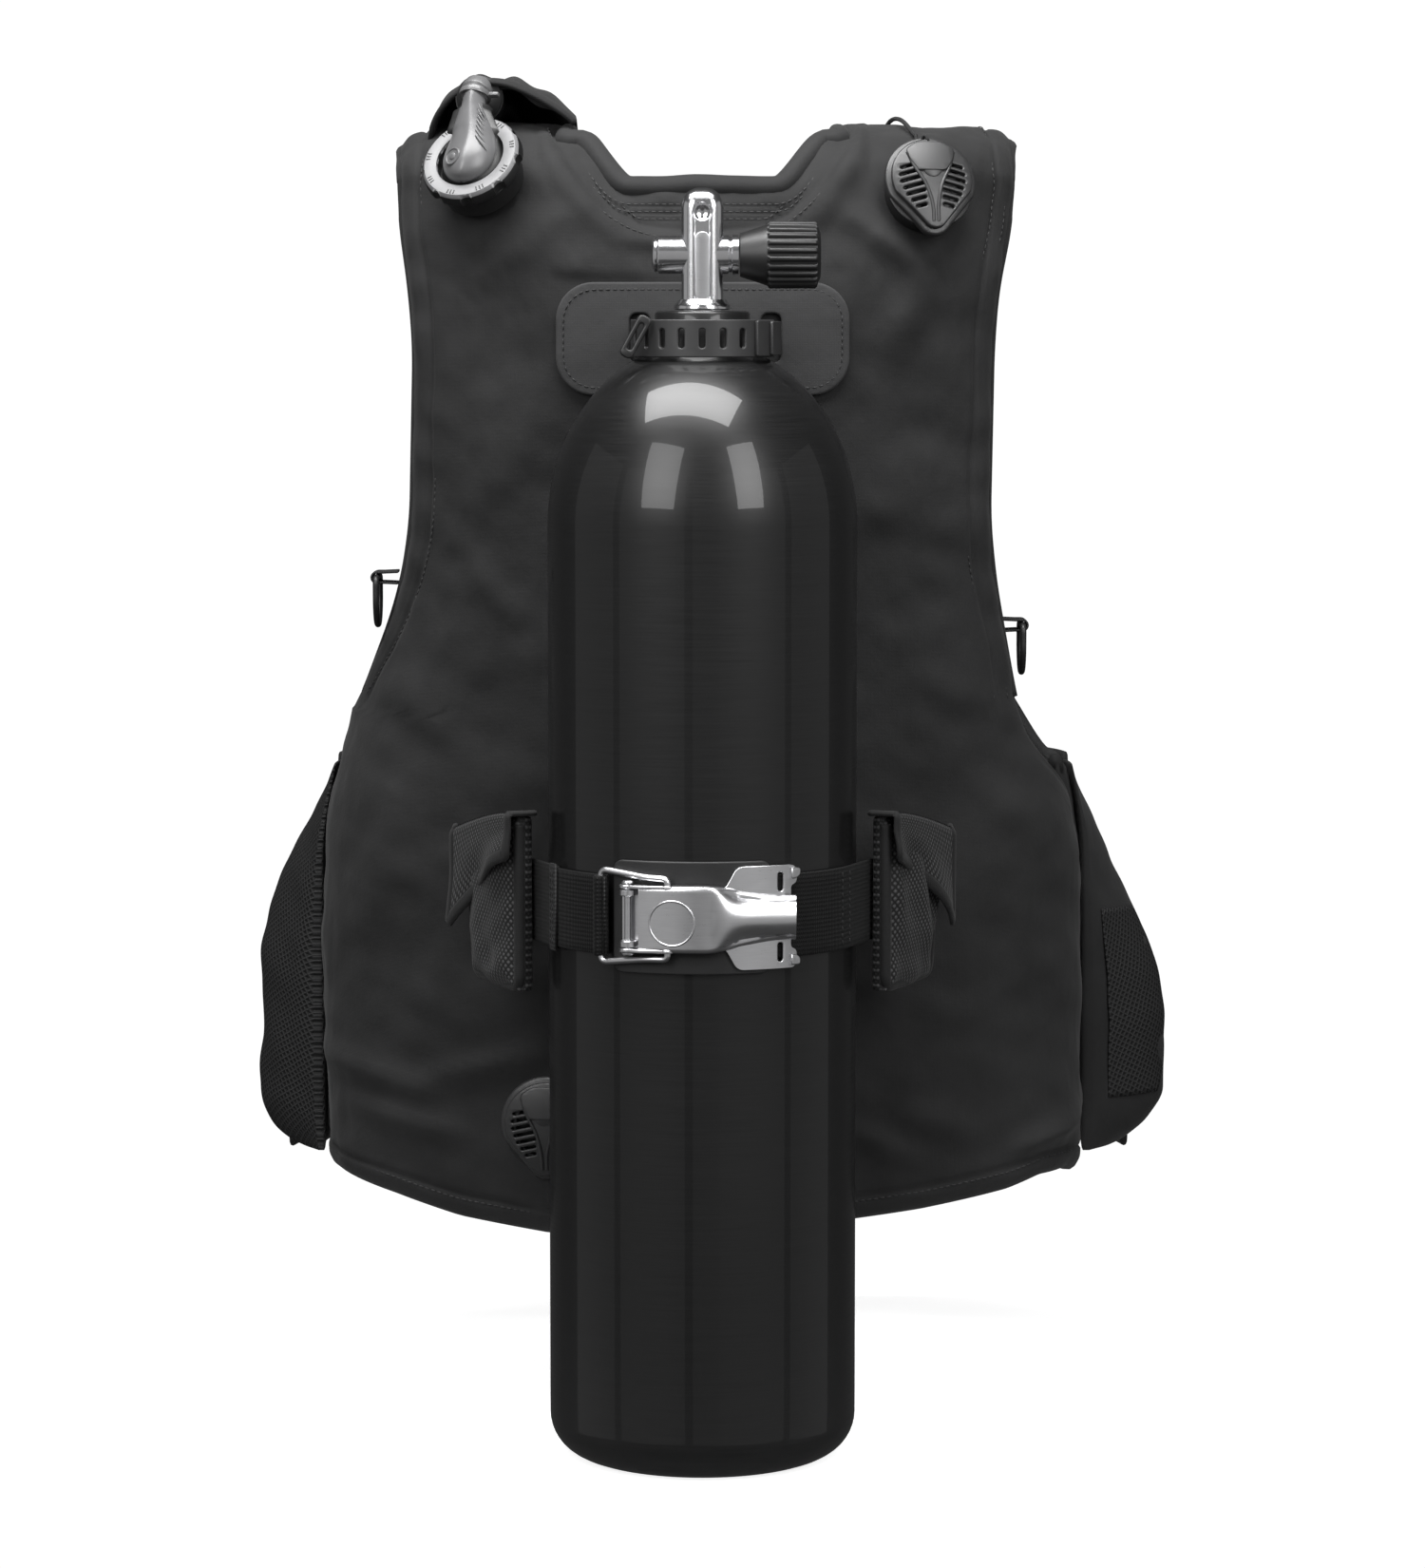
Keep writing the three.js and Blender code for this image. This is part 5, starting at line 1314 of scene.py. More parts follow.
def front_top(x):
    """Height of a front panel's upper edge."""
    inwards = -np.abs(x)
    return (400 + 45 * ease(inwards, -232, -205) + 153 * ease(inwards, -200, -150)
            - 38 * ease(inwards, -74, -52))


def build_front_panel(side, name):
    f = mix(SIDE_F, FRONT_EDGE_F, np.linspace(0, 1, 90))[None]
    rough = torso(f, 400, THICK)[..., 0]
    shares = np.linspace(0, 1, 150)[:, None]
    z = mix(FRONT_LOW + 0 * rough, front_top(rough), shares)
    grid = torso(side * f, z, THICK)
    ids = np.arange(grid.shape[0] * grid.shape[1]).reshape(grid.shape[:2])
    middle = np.array([0, TORSO_Y, 380])
    faces = facing(grid.reshape(-1, 3), grid_faces(ids), lambda p: (p - middle) * (1, 1, 0))

    def relief(spots, away):
        total = ripples(spots, 80, 1.0, 41 + side) + ripples(spots, 24, 0.25, 43)
        total += 0.9 * bell(away, 9, 5) - 1.6 * bell(away, 18, 1.5)
        return total - 1.2 * bell(spots[:, 2], 430, 2.0) * ease(away, 12, 25)

    points, quads = shell_thickness(grid.reshape(-1, 3), faces, 15, relief)
    panel = make(f"{name}_front", points, quads, "vest", "vest_fabric", f"{name}_front_panel")

    normals = surface_normals(grid, grid - middle)
    border = np.concatenate([grid[0, :], grid[1:, -1], grid[-1, -2::-1]])
    outs = np.concatenate([normals[0, :], normals[1:, -1], normals[-1, -2::-1]])
    inner = np.concatenate([grid[8, :], grid[1:, -8], grid[-9, -2::-1]])
    path = border + unit(inner - border) * 3.5 - outs * (ROLL_IN + RIM / 2 - 0.5)
    binding(f"{name}_front_binding", resampled(path, 220), oval(14, 9, 12, 0.75), unit(resampled(outs, 220)))
    rows = []
    for k in (10, 21):
        line, up = inset(grid[10:-10], normals[10:-10], k, from_end=True)
        rows.append((line + up * (0.4 if k > 15 else -0.1), up))
    stitches(f"{name}_front_stitching", rows)


def zipper(name, place, out, slot):
    """A closed zip along a line: two rows of teeth, a tape under them and its slider."""
    count = max(int(lengths(place)[-1] / 2.4), 8)
    path, up = resampled(place, count), unit(resampled(out, count))
    way = directions(path)
    across = np.cross(way, up)
    tape, faces, uv = swept(path, oval(20, 1.4, 12, 0.6), up)
    make(f"{name}_tape", tape, faces, "elastic", slot, uv=uv)
    tooth = np.array([(x, y, z) for z in (0, 1) for y in (-1, 1) for x in (-1, 1)], float)
    quads = [[0, 1, 3, 2], [4, 6, 7, 5], [0, 4, 5, 1], [1, 5, 7, 3], [3, 7, 6, 2], [2, 6, 4, 0]]
    parts = []
    for k in range(count):
        shift = 1.0 if k % 2 else -1.0
        shape = tooth * (0.75, 2.0, 1.7)
        shape[4:, :2] *= 0.75
        parts.append((path[k] + shape[:, :1] * way[k] + (shape[:, 1:2] + shift) * across[k]
                      + shape[:, 2:] * up[k], quads))
    make(f"{name}_teeth", *joined_parts(parts), "plastic", slot, smooth=False)
    k = count - 6
    here = basis(path[k] + up[k] * 2.2, way[k], across[k], up[k])
    slider = plate([rounded_outline(11, 8, 2.4, 5)], 3.2, 0.9)
    pull = plate([rounded_outline(26, 7, 3, 5, (-13, 0)), rounded_outline(6, 3, 1.4, 4, (-21, 0))], 1.8, 0.6)
    parts = [slider, moved(pull, (0, 0, 2.2))]
    make(f"{name}_slider", *moved(joined_parts(parts), here), "plastic", slot, sharp=40)


def build_cushion():
    """Back pad on the wearer's side, swelled by a short cloth simulation and sewn in channels."""
    where, faces = lattice((64, 4, 90))
    u, t, v = crowd(where[:, 0], 0.4), where[:, 1], crowd(where[:, 2], 0.4)
    swell = puffed(np.minimum(np.minimum(u, 1 - u) * 215, np.minimum(v, 1 - v) * 500), 16)
    off = PAD_OFF + (t - 0.5) * mix(3.5, 8.6, swell)
    spots = torso(mix(-PAD_REACH, PAD_REACH, u), mix(PAD_LOW, PAD_HIGH, v), off)
    cushion = make("back_pad", spots, faces, "cushion", "cushion_mesh", "back_cushion",
                   uv=np.column_stack([u * 330, v * 495]))
    swell_by_cloth(cushion, 2.6)
    mesh = cushion.data
    co = np.zeros(len(mesh.vertices) * 3)
    mesh.vertices.foreach_get("co", co)
    co = co.reshape(-1, 3) / MM
    groove = sum(bell(co[:, 2], z, 3.2) for z in CHANNELS) + bell(np.abs(co[:, 0]), 46, 3.2)
    inner = co[:, 1] > back(co[:, 0], co[:, 2], PAD_OFF)[:, 1]
    away = outward(back, co[:, 0], co[:, 2])
    co = co + away * (np.where(inner, 1.5, -0.3) * np.clip(groove, 0, 1))[:, None]
    mesh.vertices.foreach_set("co", (co * MM).ravel())
    f = mix(-0.56, 0.56, np.linspace(0, 1, 60))
    rows = [(torso(f, z, -13.4), -unit(torso(f, z, 1) - torso(f, z, 0))) for z in CHANNELS]
    stitches("back_pad_stitching", rows, slot="cushion_mesh")
    across, upwards = np.linspace(0, 1, 30), np.linspace(0, 1, 40)
    border = np.array([*[(a, 0.0) for a in across], *[(1.0, a) for a in upwards],
                       *[(a, 1.0) for a in across[::-1]], *[(0.0, a) for a in upwards[::-1]]])
    f, z = mix(-PAD_REACH, PAD_REACH, border[:, 0]), mix(PAD_LOW, PAD_HIGH, border[:, 1])
    path = resampled(softened(torso(f, z, PAD_OFF)[::3], 12, 4), 300)[:-1]
    outs = unit(path - (0, TORSO_Y, 0)) * (1, 1, 0)
    binding("back_pad_binding", path, oval(9, 7, 10, 0.8), outs, "cushion_mesh", closed=True)


def swell_by_cloth(obj, cap):
    """Inflates a padded piece with a cloth simulation, keeping each point within cap of its start."""
    scene, frames = bpy.context.scene, 14
    start = np.zeros(len(obj.data.vertices) * 3)
    cloth = obj.modifiers.new("stuffing", "CLOTH")
    settings = cloth.settings
    settings.quality, settings.mass = 4, 0.3
    settings.use_pressure, settings.uniform_pressure_force = True, 4
    settings.effector_weights.gravity = 0
    settings.tension_stiffness = settings.compression_stiffness = 25
    cloth.point_cache.frame_start, cloth.point_cache.frame_end = 1, frames
    obj.data.vertices.foreach_get("co", start)
    for step in range(1, frames + 1):
        scene.frame_set(step)
    graph = bpy.context.evaluated_depsgraph_get()
    end = np.zeros_like(start)
    obj.evaluated_get(graph).data.vertices.foreach_get("co", end)
    obj.modifiers.clear()
    scene.frame_set(1)
    shift = (end - start).reshape(-1, 3)
    size = np.linalg.norm(shift, axis=1, keepdims=True)
    shift *= np.minimum(1, cap * MM / np.maximum(size, 1e-9))
    obj.data.vertices.foreach_set("co", (start.reshape(-1, 3) + shift).ravel())
    obj.data.update()


def build_cradle():
    hollow, flat, half = TANK_RADIUS + 1, 97.2, 69.0
    side = math.degrees(math.asin(half / hollow))
    inner = arc((0, 0), hollow, 180 - side, 180 + side, 24)
    rest = softened([inner[-1], (-half, flat), (half, flat), inner[0]], 2.5, 4)[1:-1]
    slab = moved(plate([np.concatenate([inner, rest])], 370, 2.0), (0, 0, 415))
    make("tank_cradle", *slab, "plastic", "black_plastic", "backpack_cradle", sharp=40)


def pocket_face(side, depth, u, z, extra):
    """Outer face of a side pocket at u round it and a height, raised by extra."""
    v = (z - POCKET_LOW) / (POCKET_HIGH - POCKET_LOW)
    tall = ease(v, -0.17, 0.14) * (1 - ease(v, 0.5 if side < 0 else 0.32, 1.05))
    round_part = ease(u, -0.1, 0.28) * (1 - 0.75 * ease(u, 0.45, 1))
    return torso(side * mix(SIDE_F, POCKET_END_F, u), z, THICK + 4 + depth * tall * round_part + extra)


def build_side_pocket(side, name, depth):
    where, faces = lattice((80, 3, 100))
    u, t, v = crowd(where[:, 0], 0.4), where[:, 1], crowd(where[:, 2], 0.4)
    z = mix(POCKET_LOW, POCKET_HIGH, v)
    swell = puffed(np.minimum(np.minimum(u, 1 - u) * POCKET_SPAN, np.minimum(v, 1 - v) * 250), 14)
    outer = pocket_face(side, depth, u, z, 0)
    inner = torso(side * mix(SIDE_F, POCKET_END_F, u), z, THICK + 2)
    outer_way = unit(outer - (0, TORSO_Y, 0)) * (1, 1, 0)
    bulge = ripples(outer, 60, 1.6, 51 + side) + ripples(outer, 22, 0.5, 53)
    outer = outer + outer_way * (bulge * swell)[:, None]
    spots = mix(inner, outer, mix(0.5, t, mix(0.55, 1, swell))[:, None])
    finish = ("side", "side_mesh") if side < 0 else ("vest", "vest_fabric")
    pocket = make(f"{name}_pocket_bag", spots, faces, *finish, f"{name}_side_pocket",
                  uv=np.column_stack([u * POCKET_SPAN, z]))

    def line(us, zs, extra):
        path = pocket_face(side, depth, us, zs, extra)
        return path, unit((path - (0, TORSO_Y, 0)) * (1, 1, 0))

    us = np.linspace(0.42, 0.98, 70)
    seam = 352 - 34 * ease(us, 0.1, 0.7)
    path, out = line(us, seam, 1.4)
    binding(f"{name}_pocket_welt", path, oval(16, 2.2, 12, 0.6), out)
    zipper(f"{name}_pocket_zip", *line(us[4:-6], seam[4:-6] - 17, 1.8), "vest_fabric")
    border = np.concatenate([np.column_stack([np.linspace(0.3, 1, 40), np.full(40, 144.0)]),
                             np.column_stack([np.full(60, 1.0), np.linspace(144, 394, 60)]),
                             np.column_stack([np.linspace(1, 0.3, 40), np.full(40, 394.0)])])
    path, out = line(border[:, 0], border[:, 1], -1.5)
    binding(f"{name}_pocket_binding", resampled(path, 200), oval(13, 5, 12, 0.7), unit(resampled(out, 200)))
    if side > 0:
        where, faces = lattice((30, 1, 40))
        u, t, v = where.T
        z = mix(176, 300, v)
        u = mix(0.03, 0.20 + 0.10 * np.sin(math.pi * v), u)
        proud = 0.8 + 1.2 * t + ripples(np.column_stack([u, z, z]), 40, 0.4, 5)
        make("right_pocket_mesh_panel", pocket_face(side, depth, u, z, proud), faces, "side", "side_mesh",
             uv=np.column_stack([u * POCKET_SPAN, z]))


def build_cummerbund():
    bent("elastic_cummerbund", (150, 2, 24), lambda u, t, v: torso(
        mix(1.2, 2.8, u), mix(190, 290, v),
        mix(-6, -2.5, t) + 0.35 * np.sin(v * 40 * math.pi) * (2 * t - 1)).T,
        "elastic", "elastic_fabric", (480, 100), nodes="cummerbund")


# ---------------------------------------------------------------- harness


def build_buckle(name, z, y, width, body):
    """Side-release buckle: a hollow socket with side windows and a three-pronged plug."""
    place, centre = to_front((0, y, z)), (0, 0, 6)
    half = width / 2 + 5
    shell = moved(plate([rounded_outline(36, 2 * half, 6, 8, (-18, 0))], 12, 2.4), centre)
    socket = make(f"{name}_socket_shell", *moved(shell, place), "plastic", "black_plastic",
                  f"{name}_socket", sharp=35)
    holes = [plate([rounded_outline(40, 2 * half - 7, 2.5, 4, (-8.5, 0))], 6.6, 0.6)]
    holes += [plate([rounded_outline(14, 9, 2, 4, (-15, way * half))], 5.4, 0.5) for way in (-1, 1)]
    carve(socket, *[moved(moved(hole, centre), place) for hole in holes])
    rib = plate([rounded_outline(20, 1.6, 0.7, 3, (-14, 0))], 1.0, 0.3)
    ribs = joined_parts([moved(rib, (0, k * 6, 12)) for k in (-1, 0, 1)])
    make(f"{name}_socket_ribs", *moved(ribs, place), "plastic", "black_plastic", sharp=35)

    reach = half - 4.2
    parts = [plate([rounded_outline(20, 2 * half - 2, 5, 7, (10.6, 0)),
                    rounded_outline(3.6, width + 1, 1.4, 4, (13, 0))], 12, 2.0)]
    for way in (-1, 1):
        prong = softened([(3, way * (reach - 4)), (-17, way * (reach - 3.6)), (-23, way * (reach - 5)),
                          (-24, way * (reach - 3.4)), (-19, way * reach), (-9, way * (reach + 0.3)),
                          (-6, way * (reach - 0.9)), (3, way * reach), (3, way * (reach - 3.99))], 1.2, 3)
        parts.append(plate([prong[:-1]], 5.2, 0.8))
    parts.append(plate([rounded_outline(21, 5, 1.6, 4, (-7.5, 0))], 5.2, 0.8))
    make(f"{name}_plug_body", *moved(moved(joined_parts(parts), centre), place), "plastic", "black_plastic",
         f"{name}_plug", body=body, sharp=35)


def build_harness():
    for side, name in SIDES:
        bent(f"waist_webbing_{name}", (70, 2, 16), lambda u, t, v: torso(
            side * mix(1.57, 1.94, u), mix(235, 273, v), THICK + 0.4 + 2 * t).T,
            "harness", "harness_webbing", (150, 38), nodes=f"waist_strap_{name}")

        def chest(u, t, v):
            x = mix(14, 90, u)
            return (side * x, 364 - 12 * ease(x, 20, 90) + 2 * t, mix(614, 639, v))
        bent(f"chest_webbing_{name}", (40, 2, 14), chest, "harness", "harness_webbing", (78, 25),
             nodes=f"chest_strap_{name}")
    build_buckle("waist_buckle", 254, FRONT_Y + 3.2, 38, "waist_plug")
    build_buckle("chest_buckle", 626.5, FRONT_Y + 0.6, 25, "chest_plug")
    for side, name, x, z in ((-1, "left", 205, 520.0), (1, "right", 201, 490.0)):
        centre = np.array([side * x, 166.0, z])
        bow = [(18 * math.sin(a), -12 - 18 * math.cos(a)) for a in np.radians(np.linspace(-90, 90, 25))]
        outline = softened([(0, 0), (-18, 0), *bow, (18, 0), (0, 0)], 4, 5)
        path = resampled(np.column_stack([0 * outline[:, 0], outline[:, 0], outline[:, 1]]), 90)[:-1]
        spots, quads, uv = swept(path + centre, oval(4, 4, 14), np.tile((1.0, 0, 0), (89, 1)), closed=True)
        make(f"{name}_d_ring_wire", spots, quads, "plastic", "buckle_steel", f"{name}_d_ring",
             body=f"{name}_d_ring")
        turn = np.radians(np.linspace(-90, 90, 14))
        loop = np.column_stack([side * 3.2 * np.cos(turn), 0 * turn, 3.2 * np.sin(turn)])
        tail = np.array([(-side * 13.0, 0, 3.6), (-side * 4.0, 0, 3.2)])
        path = resampled(centre + np.concatenate([tail * (1, 1, -1), loop, tail[::-1]]), 40)
        spots, quads, uv = swept(path, oval(26, 1.8, 14, 0.5),
                                 np.cross(directions(path), np.tile((0, 1.0, 0), (40, 1))))
        make(f"{name}_d_ring_tab", spots, quads, "harness", "harness_webbing", uv=uv)


# ---------------------------------------------------------------- trim pockets


def build_trim_pocket(side, name):
    """Weight pocket threaded on the band: a boxy bag of coarse weave with a flap over its mouth."""
    low, high, near, far = 282.0, 388.0, 28.0, 122.0
    inside, outside = BAND_OUT - BAND_IN + 0.4, 20.0

    where, faces = lattice((50, 14, 56))
    s, o, v = crowd(where[:, 0], 0.5), where[:, 1], crowd(where[:, 2], 0.5)
    edge = np.minimum(np.minimum(s, 1 - s) * (far - near), np.minimum(v, 1 - v) * (high - low))
    swell = puffed(edge, 13)
    crown = np.sin(math.pi * s) ** 0.6 * np.sin(math.pi * np.clip(v, 0, 1)) ** 0.5
    z = mix(low, high - 1.0 - 17 * s ** 1.3, v) - 2.0 * np.sin(math.pi * s) * (1 - v)
    out = mix(inside + 5, mix(outside - 7, outside + 1.5, crown * 0.6 + 0.4 * swell), o)
    core = mix(inside, outside, 0.42 + 0.16 * o)
    out = mix(core, np.where(o > 0, out, inside), mix(0.35, 1, swell))
    flat = beside_band(side, mix(near, far - 13 * (1 - v) ** 1.5, s), out)
    spots = np.column_stack([flat, z])
    creases = ripples(spots, 30, 1.3, 61 + side) * swell * (o > 0.5)
    spots += creases[:, None] * unit((side, -0.37, 0))
    bag = make(f"{name}_trim_bag", spots, faces, "ballistic", "pocket_fabric", f"{name}_trim_pocket",
               uv=np.column_stack([s * (far - near) + o * 16, z]))

    way_out = np.array([side * math.sin(BAND_ANGLE), -math.cos(BAND_ANGLE), 0.0])
    route = [(near + 2, high - 6), (near + 2, low + 3), (far - 16, low + 3), (far - 4, high - 26)]
    path = softened([np.array([*beside_band(side, a, 13.0), b]) for a, b in route], 6, 6)
    binding(f"{name}_trim_binding", resampled(path, 120), oval(8.5, 6.5, 12, 0.8),
            np.tile(way_out, (120, 1)), "pocket_fabric")

    roof = np.column_stack([np.linspace(inside + 1, outside + 1.0, 14), np.full(14, high + 1.6)])
    front = np.column_stack([np.full(16, outside + 2.2), np.linspace(high - 4, high - 37, 16)])
    run = resampled(np.concatenate([roof, arc((outside - 1.2, high - 1.8), 3.4, 170, 92, 6), front]), 46)
    s_at = np.linspace(near - 1, far + 7, 44)
    outer = []
    for k, (o, z) in enumerate(run):
        share = k / (len(run) - 1)
        sag = 1.4 * np.sin(math.pi * (s_at - near) / (far - near)) * ease(share, 0.3, 1)
        curl = 3.2 * ease(share, 0.6, 1) * np.cos((s_at - near) / 15 + side)
        flat = beside_band(side, s_at, o + sag * 0.5 + curl)
        slant = np.clip((s_at - near) / (far - near), 0, 1.1)
        fall = 17 * slant ** 1.3 + ease(share, 0.3, 1) * (16 * slant ** 2 - 13 * (1 - slant))
        outer.append(np.column_stack([flat, z - fall]))
    grid = np.array(outer)
    normal = surface_normals(grid, np.tile(way_out + (0, 0, 0.6), (*grid.shape[:2], 1)))
    flap = f"{name}_trim_flap"
    uv = np.column_stack([np.tile(s_at, len(run)), np.repeat(lengths(run), len(s_at))])
    make(f"{name}_trim_cover", *between_sheets(grid, grid - normal * 1.7), "ballistic", "pocket_fabric",
         flap, body=flap, uv=np.concatenate([uv, uv]))
    border = np.concatenate([grid[:, 0], grid[-1, 1:], grid[-2::-1, -1]])
    outs = np.concatenate([normal[:, 0], normal[-1, 1:], normal[-2::-1, -1]])
    both = resampled(np.concatenate([border, outs], 1), 130)
    path, outs = both[:, :3], unit(both[:, 3:])
    binding(f"{name}_trim_cover_binding", path - outs * 0.9, oval(8, 3.4, 10, 0.7), outs, "pocket_fabric",
            body=flap)


# ---------------------------------------------------------------- inflator


def ring_of(part, radius, angles, height=0.0):
    """Copies of a part set round local Z at some angles."""
    made = []
    for a in angles:
        turn = np.array([(math.cos(a), math.sin(a), 0), (-math.sin(a), math.cos(a), 0), (0, 0, 1)])
        made.append(((part[0] + (radius, 0, height)) @ turn, part[1]))
    return made


def teardrop(grow, low, top, lift, tail):
    """Elbow body as stations along local Y: a disc that narrows into a leaning neck."""
    sections = []
    for y in np.concatenate([-20 * np.cos(np.radians(np.linspace(4, 88, 16))), np.linspace(1.5, tail, 26)]):
        disc = math.sqrt(max(1 - (y / 20) ** 2, 0.0)) if y < 0 else 1.0
        away = float(ease(y, 0, 46))
        half = mix(17.2 * disc, 7.4, away) + grow * disc ** 0.5
        crest = mix(13.5 + (top - 13.5) * disc ** 0.6, lift, float(ease(y, 4, 50)))
        over_ring = float(ease(y, 13, 20) * (1 - ease(y, 34, 42)))
        floor = mix(mix(low, lift - 17, away), 13.9, over_ring)
        centre = -10.5 * float(ease(y, 2, 54))
        across = np.cos(np.linspace(0, math.pi, 25))
        ridge = np.clip(np.abs(across - 0.16) / np.where(across > 0.16, 0.84, 1.16), 0, 1)
        over = (1 - ridge ** 1.45) ** 0.62
        under = -np.sin(np.linspace(0, math.pi, 13))[1:-1]
        middle = max(mix(low, lift - 9, away), floor + 0.6)
        upper = np.column_stack([centre + half * across, np.full(25, y), mix(middle, crest, over)])
        back_x = centre - half * np.cos(np.linspace(0, math.pi, 13))[1:-1]
        lower = np.column_stack([back_x, np.full(11, y), middle + (middle - floor) * under])
        sections.append(np.concatenate([upper, lower]))
    return loft(sections)


def build_elbow():
    place = aimed((-139, 119, 773), (-0.31, -0.74, 0.6))
    flange = turned([(0, -13), (26, -13), (27.6, -3), (28.8, 0.4), (29, 2), (28.2, 3), (0, 3)], 72)
    make("elbow_seat", *moved(flange, place), "rubber", "black_plastic", "elbow_flange", sharp=40)

    wall = turned([(22.4, 3.5), (31.2, 3.5), (32, 4.6), (32, 8.2), (31.2, 10.4), (22.4, 10.4),
                   (22.4, 3.5)], 144)
    grip = make("lock_ring_body", *moved(wall, place), "grip", "black_plastic", "elbow_lock_ring",
                body="lock_ring", sharp=35)
    face = turned([(22.0, 9.8), (31.3, 10.0), (31.0, 11.2), (29.6, 12.7), (23.4, 13.1), (22.0, 12.4),
                   (22.0, 9.8)], 144)
    rim = make("lock_ring_face", *moved(face, place), "ring", "ring_plastic", body="lock_ring", sharp=35)
    bite = turned([(0.01, 0), (5.0, 0), (5.0, 12.4), (0.01, 12.4)], 24)
    for piece, radius in ((grip, 34.6), (rim, 35.0)):
        spread = np.linspace(0, 2 * math.pi, 9, endpoint=False)
        carve(piece, *[moved(part, place) for part in ring_of(bite, radius, spread, 1.2)])
        bevelled(piece, 0.35)
    tick = plate([rounded_outline(3.0, 0.7, 0.3, 3)], 0.5, 0.15)
    spread = np.radians([start + 15 + 4.4 * k for start in range(0, 360, 40) for k in range(3)])
    ticks = joined_parts(ring_of(tick, 27.6, spread, 12.9))
    make("lock_ring_ticks", *moved(ticks, place), "plastic", "black_plastic", body="lock_ring", sharp=40)

    skirt = teardrop(4.0, 3.5, 15.4, 18.5, 40)
    make("elbow_skirt", *moved(skirt, place), "grip", "black_plastic", sharp=50)
    collar = smooth_path([(-9.9, 46, 12.7), (-9.9, 53, 11.6), (-9.2, 59, 8)], 30)
    bead = np.interp(np.linspace(0, 1, 30), [0, 0.3, 0.32, 0.6, 0.62, 0.8, 1],
                     [1, 1, 1.16, 1.16, 0.94, 0.94, 0.7])
    parts = [teardrop(0.0, 12.0, 25.0, 21.5, 50), swept(collar, oval(17, 17, 28), scale=bead)[:2]]
    for k in range(7):
        y = 2 + 4.2 * k
        x = 12.4 - 1.15 * k
        rib = smooth_path([(x - 6.2 + 0.25 * k, y + 5.5, 24.2 - 0.2 * k), (x - 2, y + 1.2, 22.4 - 0.25 * k),
                           (x + 1.6 - 0.2 * k, y - 2.4, 19.0 - 0.2 * k)], 12)
        bar = swept(rib, oval(1.3, 1.6, 8), np.tile((0.5, 0, 0.86), (12, 1)),
                    scale=np.sin(np.linspace(0.3, math.pi - 0.3, 12)) ** 0.5)
        parts.append(bar[:2])
    make("elbow_body", *moved(joined_parts(parts), place), "elbow", "elbow_plastic", "inflator_elbow",
         sharp=60)
    band = turned([(8.6, -1.6), (9.9, -1.6), (10.2, 0), (9.9, 1.6), (8.6, 1.6), (8.6, -1.6)], 40)
    lay = basis((-9.9, 48.6, 12.4), (1, 0, 0), (0, 0.15, -1), (0, -1, -0.15))
    tab = plate([rounded_outline(7, 4, 1, 3)], 2.4, 0.5)
    clip = moved(joined_parts([band, moved(tab, (12.6, 0, 0))]), lay)
    make("elbow_clip", *moved(clip, place), "elbow", "elbow_plastic", sharp=40)
    badge = turned([(0, -2), (5.4, -2), (5.6, 0.3), (5.2, 0.8), (4.7, 0.8), (4.3, 0.2), (0, 0.2)], 40)
    mark = turned([(0, -2), (2.2, -2), (2.2, 0.5), (1.8, 0.8), (0, 0.8)], 24)
    tilt = basis((-5.4, -7.6, 22.6), (0.93, 0, 0.3), (0, 0.94, 0.3), (-0.3, -0.3, 0.9))
    badge = moved(joined_parts([badge, mark]), tilt)
    make("elbow_badge", *moved(badge, place), "elbow", "elbow_plastic", sharp=40)


def hood_crown(u):
    """Height of the hose sleeve over the shoulder at u across it."""
    return 2.5 + 28 * np.sin(math.pi * u ** 0.66) ** 0.8


def build_hose():
    path = smooth_path(HOSE_ROUTE, 520)
    along = lengths(path)
    path = path + (1 - ease(along, 0, 130))[:, None] * (-8.0, 0, -5.0)
    along = lengths(path)
    wave = 0.5 + 0.5 * np.cos(2 * math.pi * along / 6.2)
    ends = ease(along, 6, 14) * (1 - ease(along, along[-1] - 16, along[-1] - 8))
    scale = 1 - 0.13 * wave * ends
    tube("corrugated_hose", path, 14, "hose", "hose_rubber", 28, scale=scale, nodes="inflator_hose")
    clips = []
    for start in (4, along[-1] - 12):
        at = path[(along >= start) & (along <= start + 6)]
        clips.append(swept(at, oval(2 * 14.9, 2 * 14.9, 32))[:2])
    make("hose_clips", *joined_parts(clips), "plastic", "black_plastic", sharp=50)

    where, faces = lattice((70, 2, 56))
    u, w, v = where.T
    x = mix(SLEEVE_FROM, SLEEVE_TO, u)
    t = mix(0.2, 0.5, v)
    crown = hood_crown(u) + 2.5 * np.sin(6 * u + 9 * v) * np.sin(math.pi * u)
    crown = crown + 1.6 * np.sin(23 * u * (1 + 0.2 * v)) * np.sin(math.pi * u) ** 0.5
    lift = crown - 2.4 * (1 - w)
    spots = over_shoulder(x, t, THICK + 1.2 + np.where(w > 0.4, lift, np.maximum(lift - 1.0, 0)))
    hood = make("hose_hood", spots, faces, "sleeve", "sleeve_fabric", "hose_sleeve",
                uv=np.column_stack([u * 130, v * 120]))
    u = np.linspace(0, 1, 70)
    for name, t in (("rear", 0.203), ("front", 0.497)):
        edge = over_shoulder(mix(SLEEVE_FROM, SLEEVE_TO, u), t, THICK + 0.6 + hood_crown(u))
        binding(f"hood_{name}_binding", edge, oval(9, 4, 10, 0.7),
                unit(edge - over_shoulder(-125, t, THICK - 20)), "sleeve_fabric")


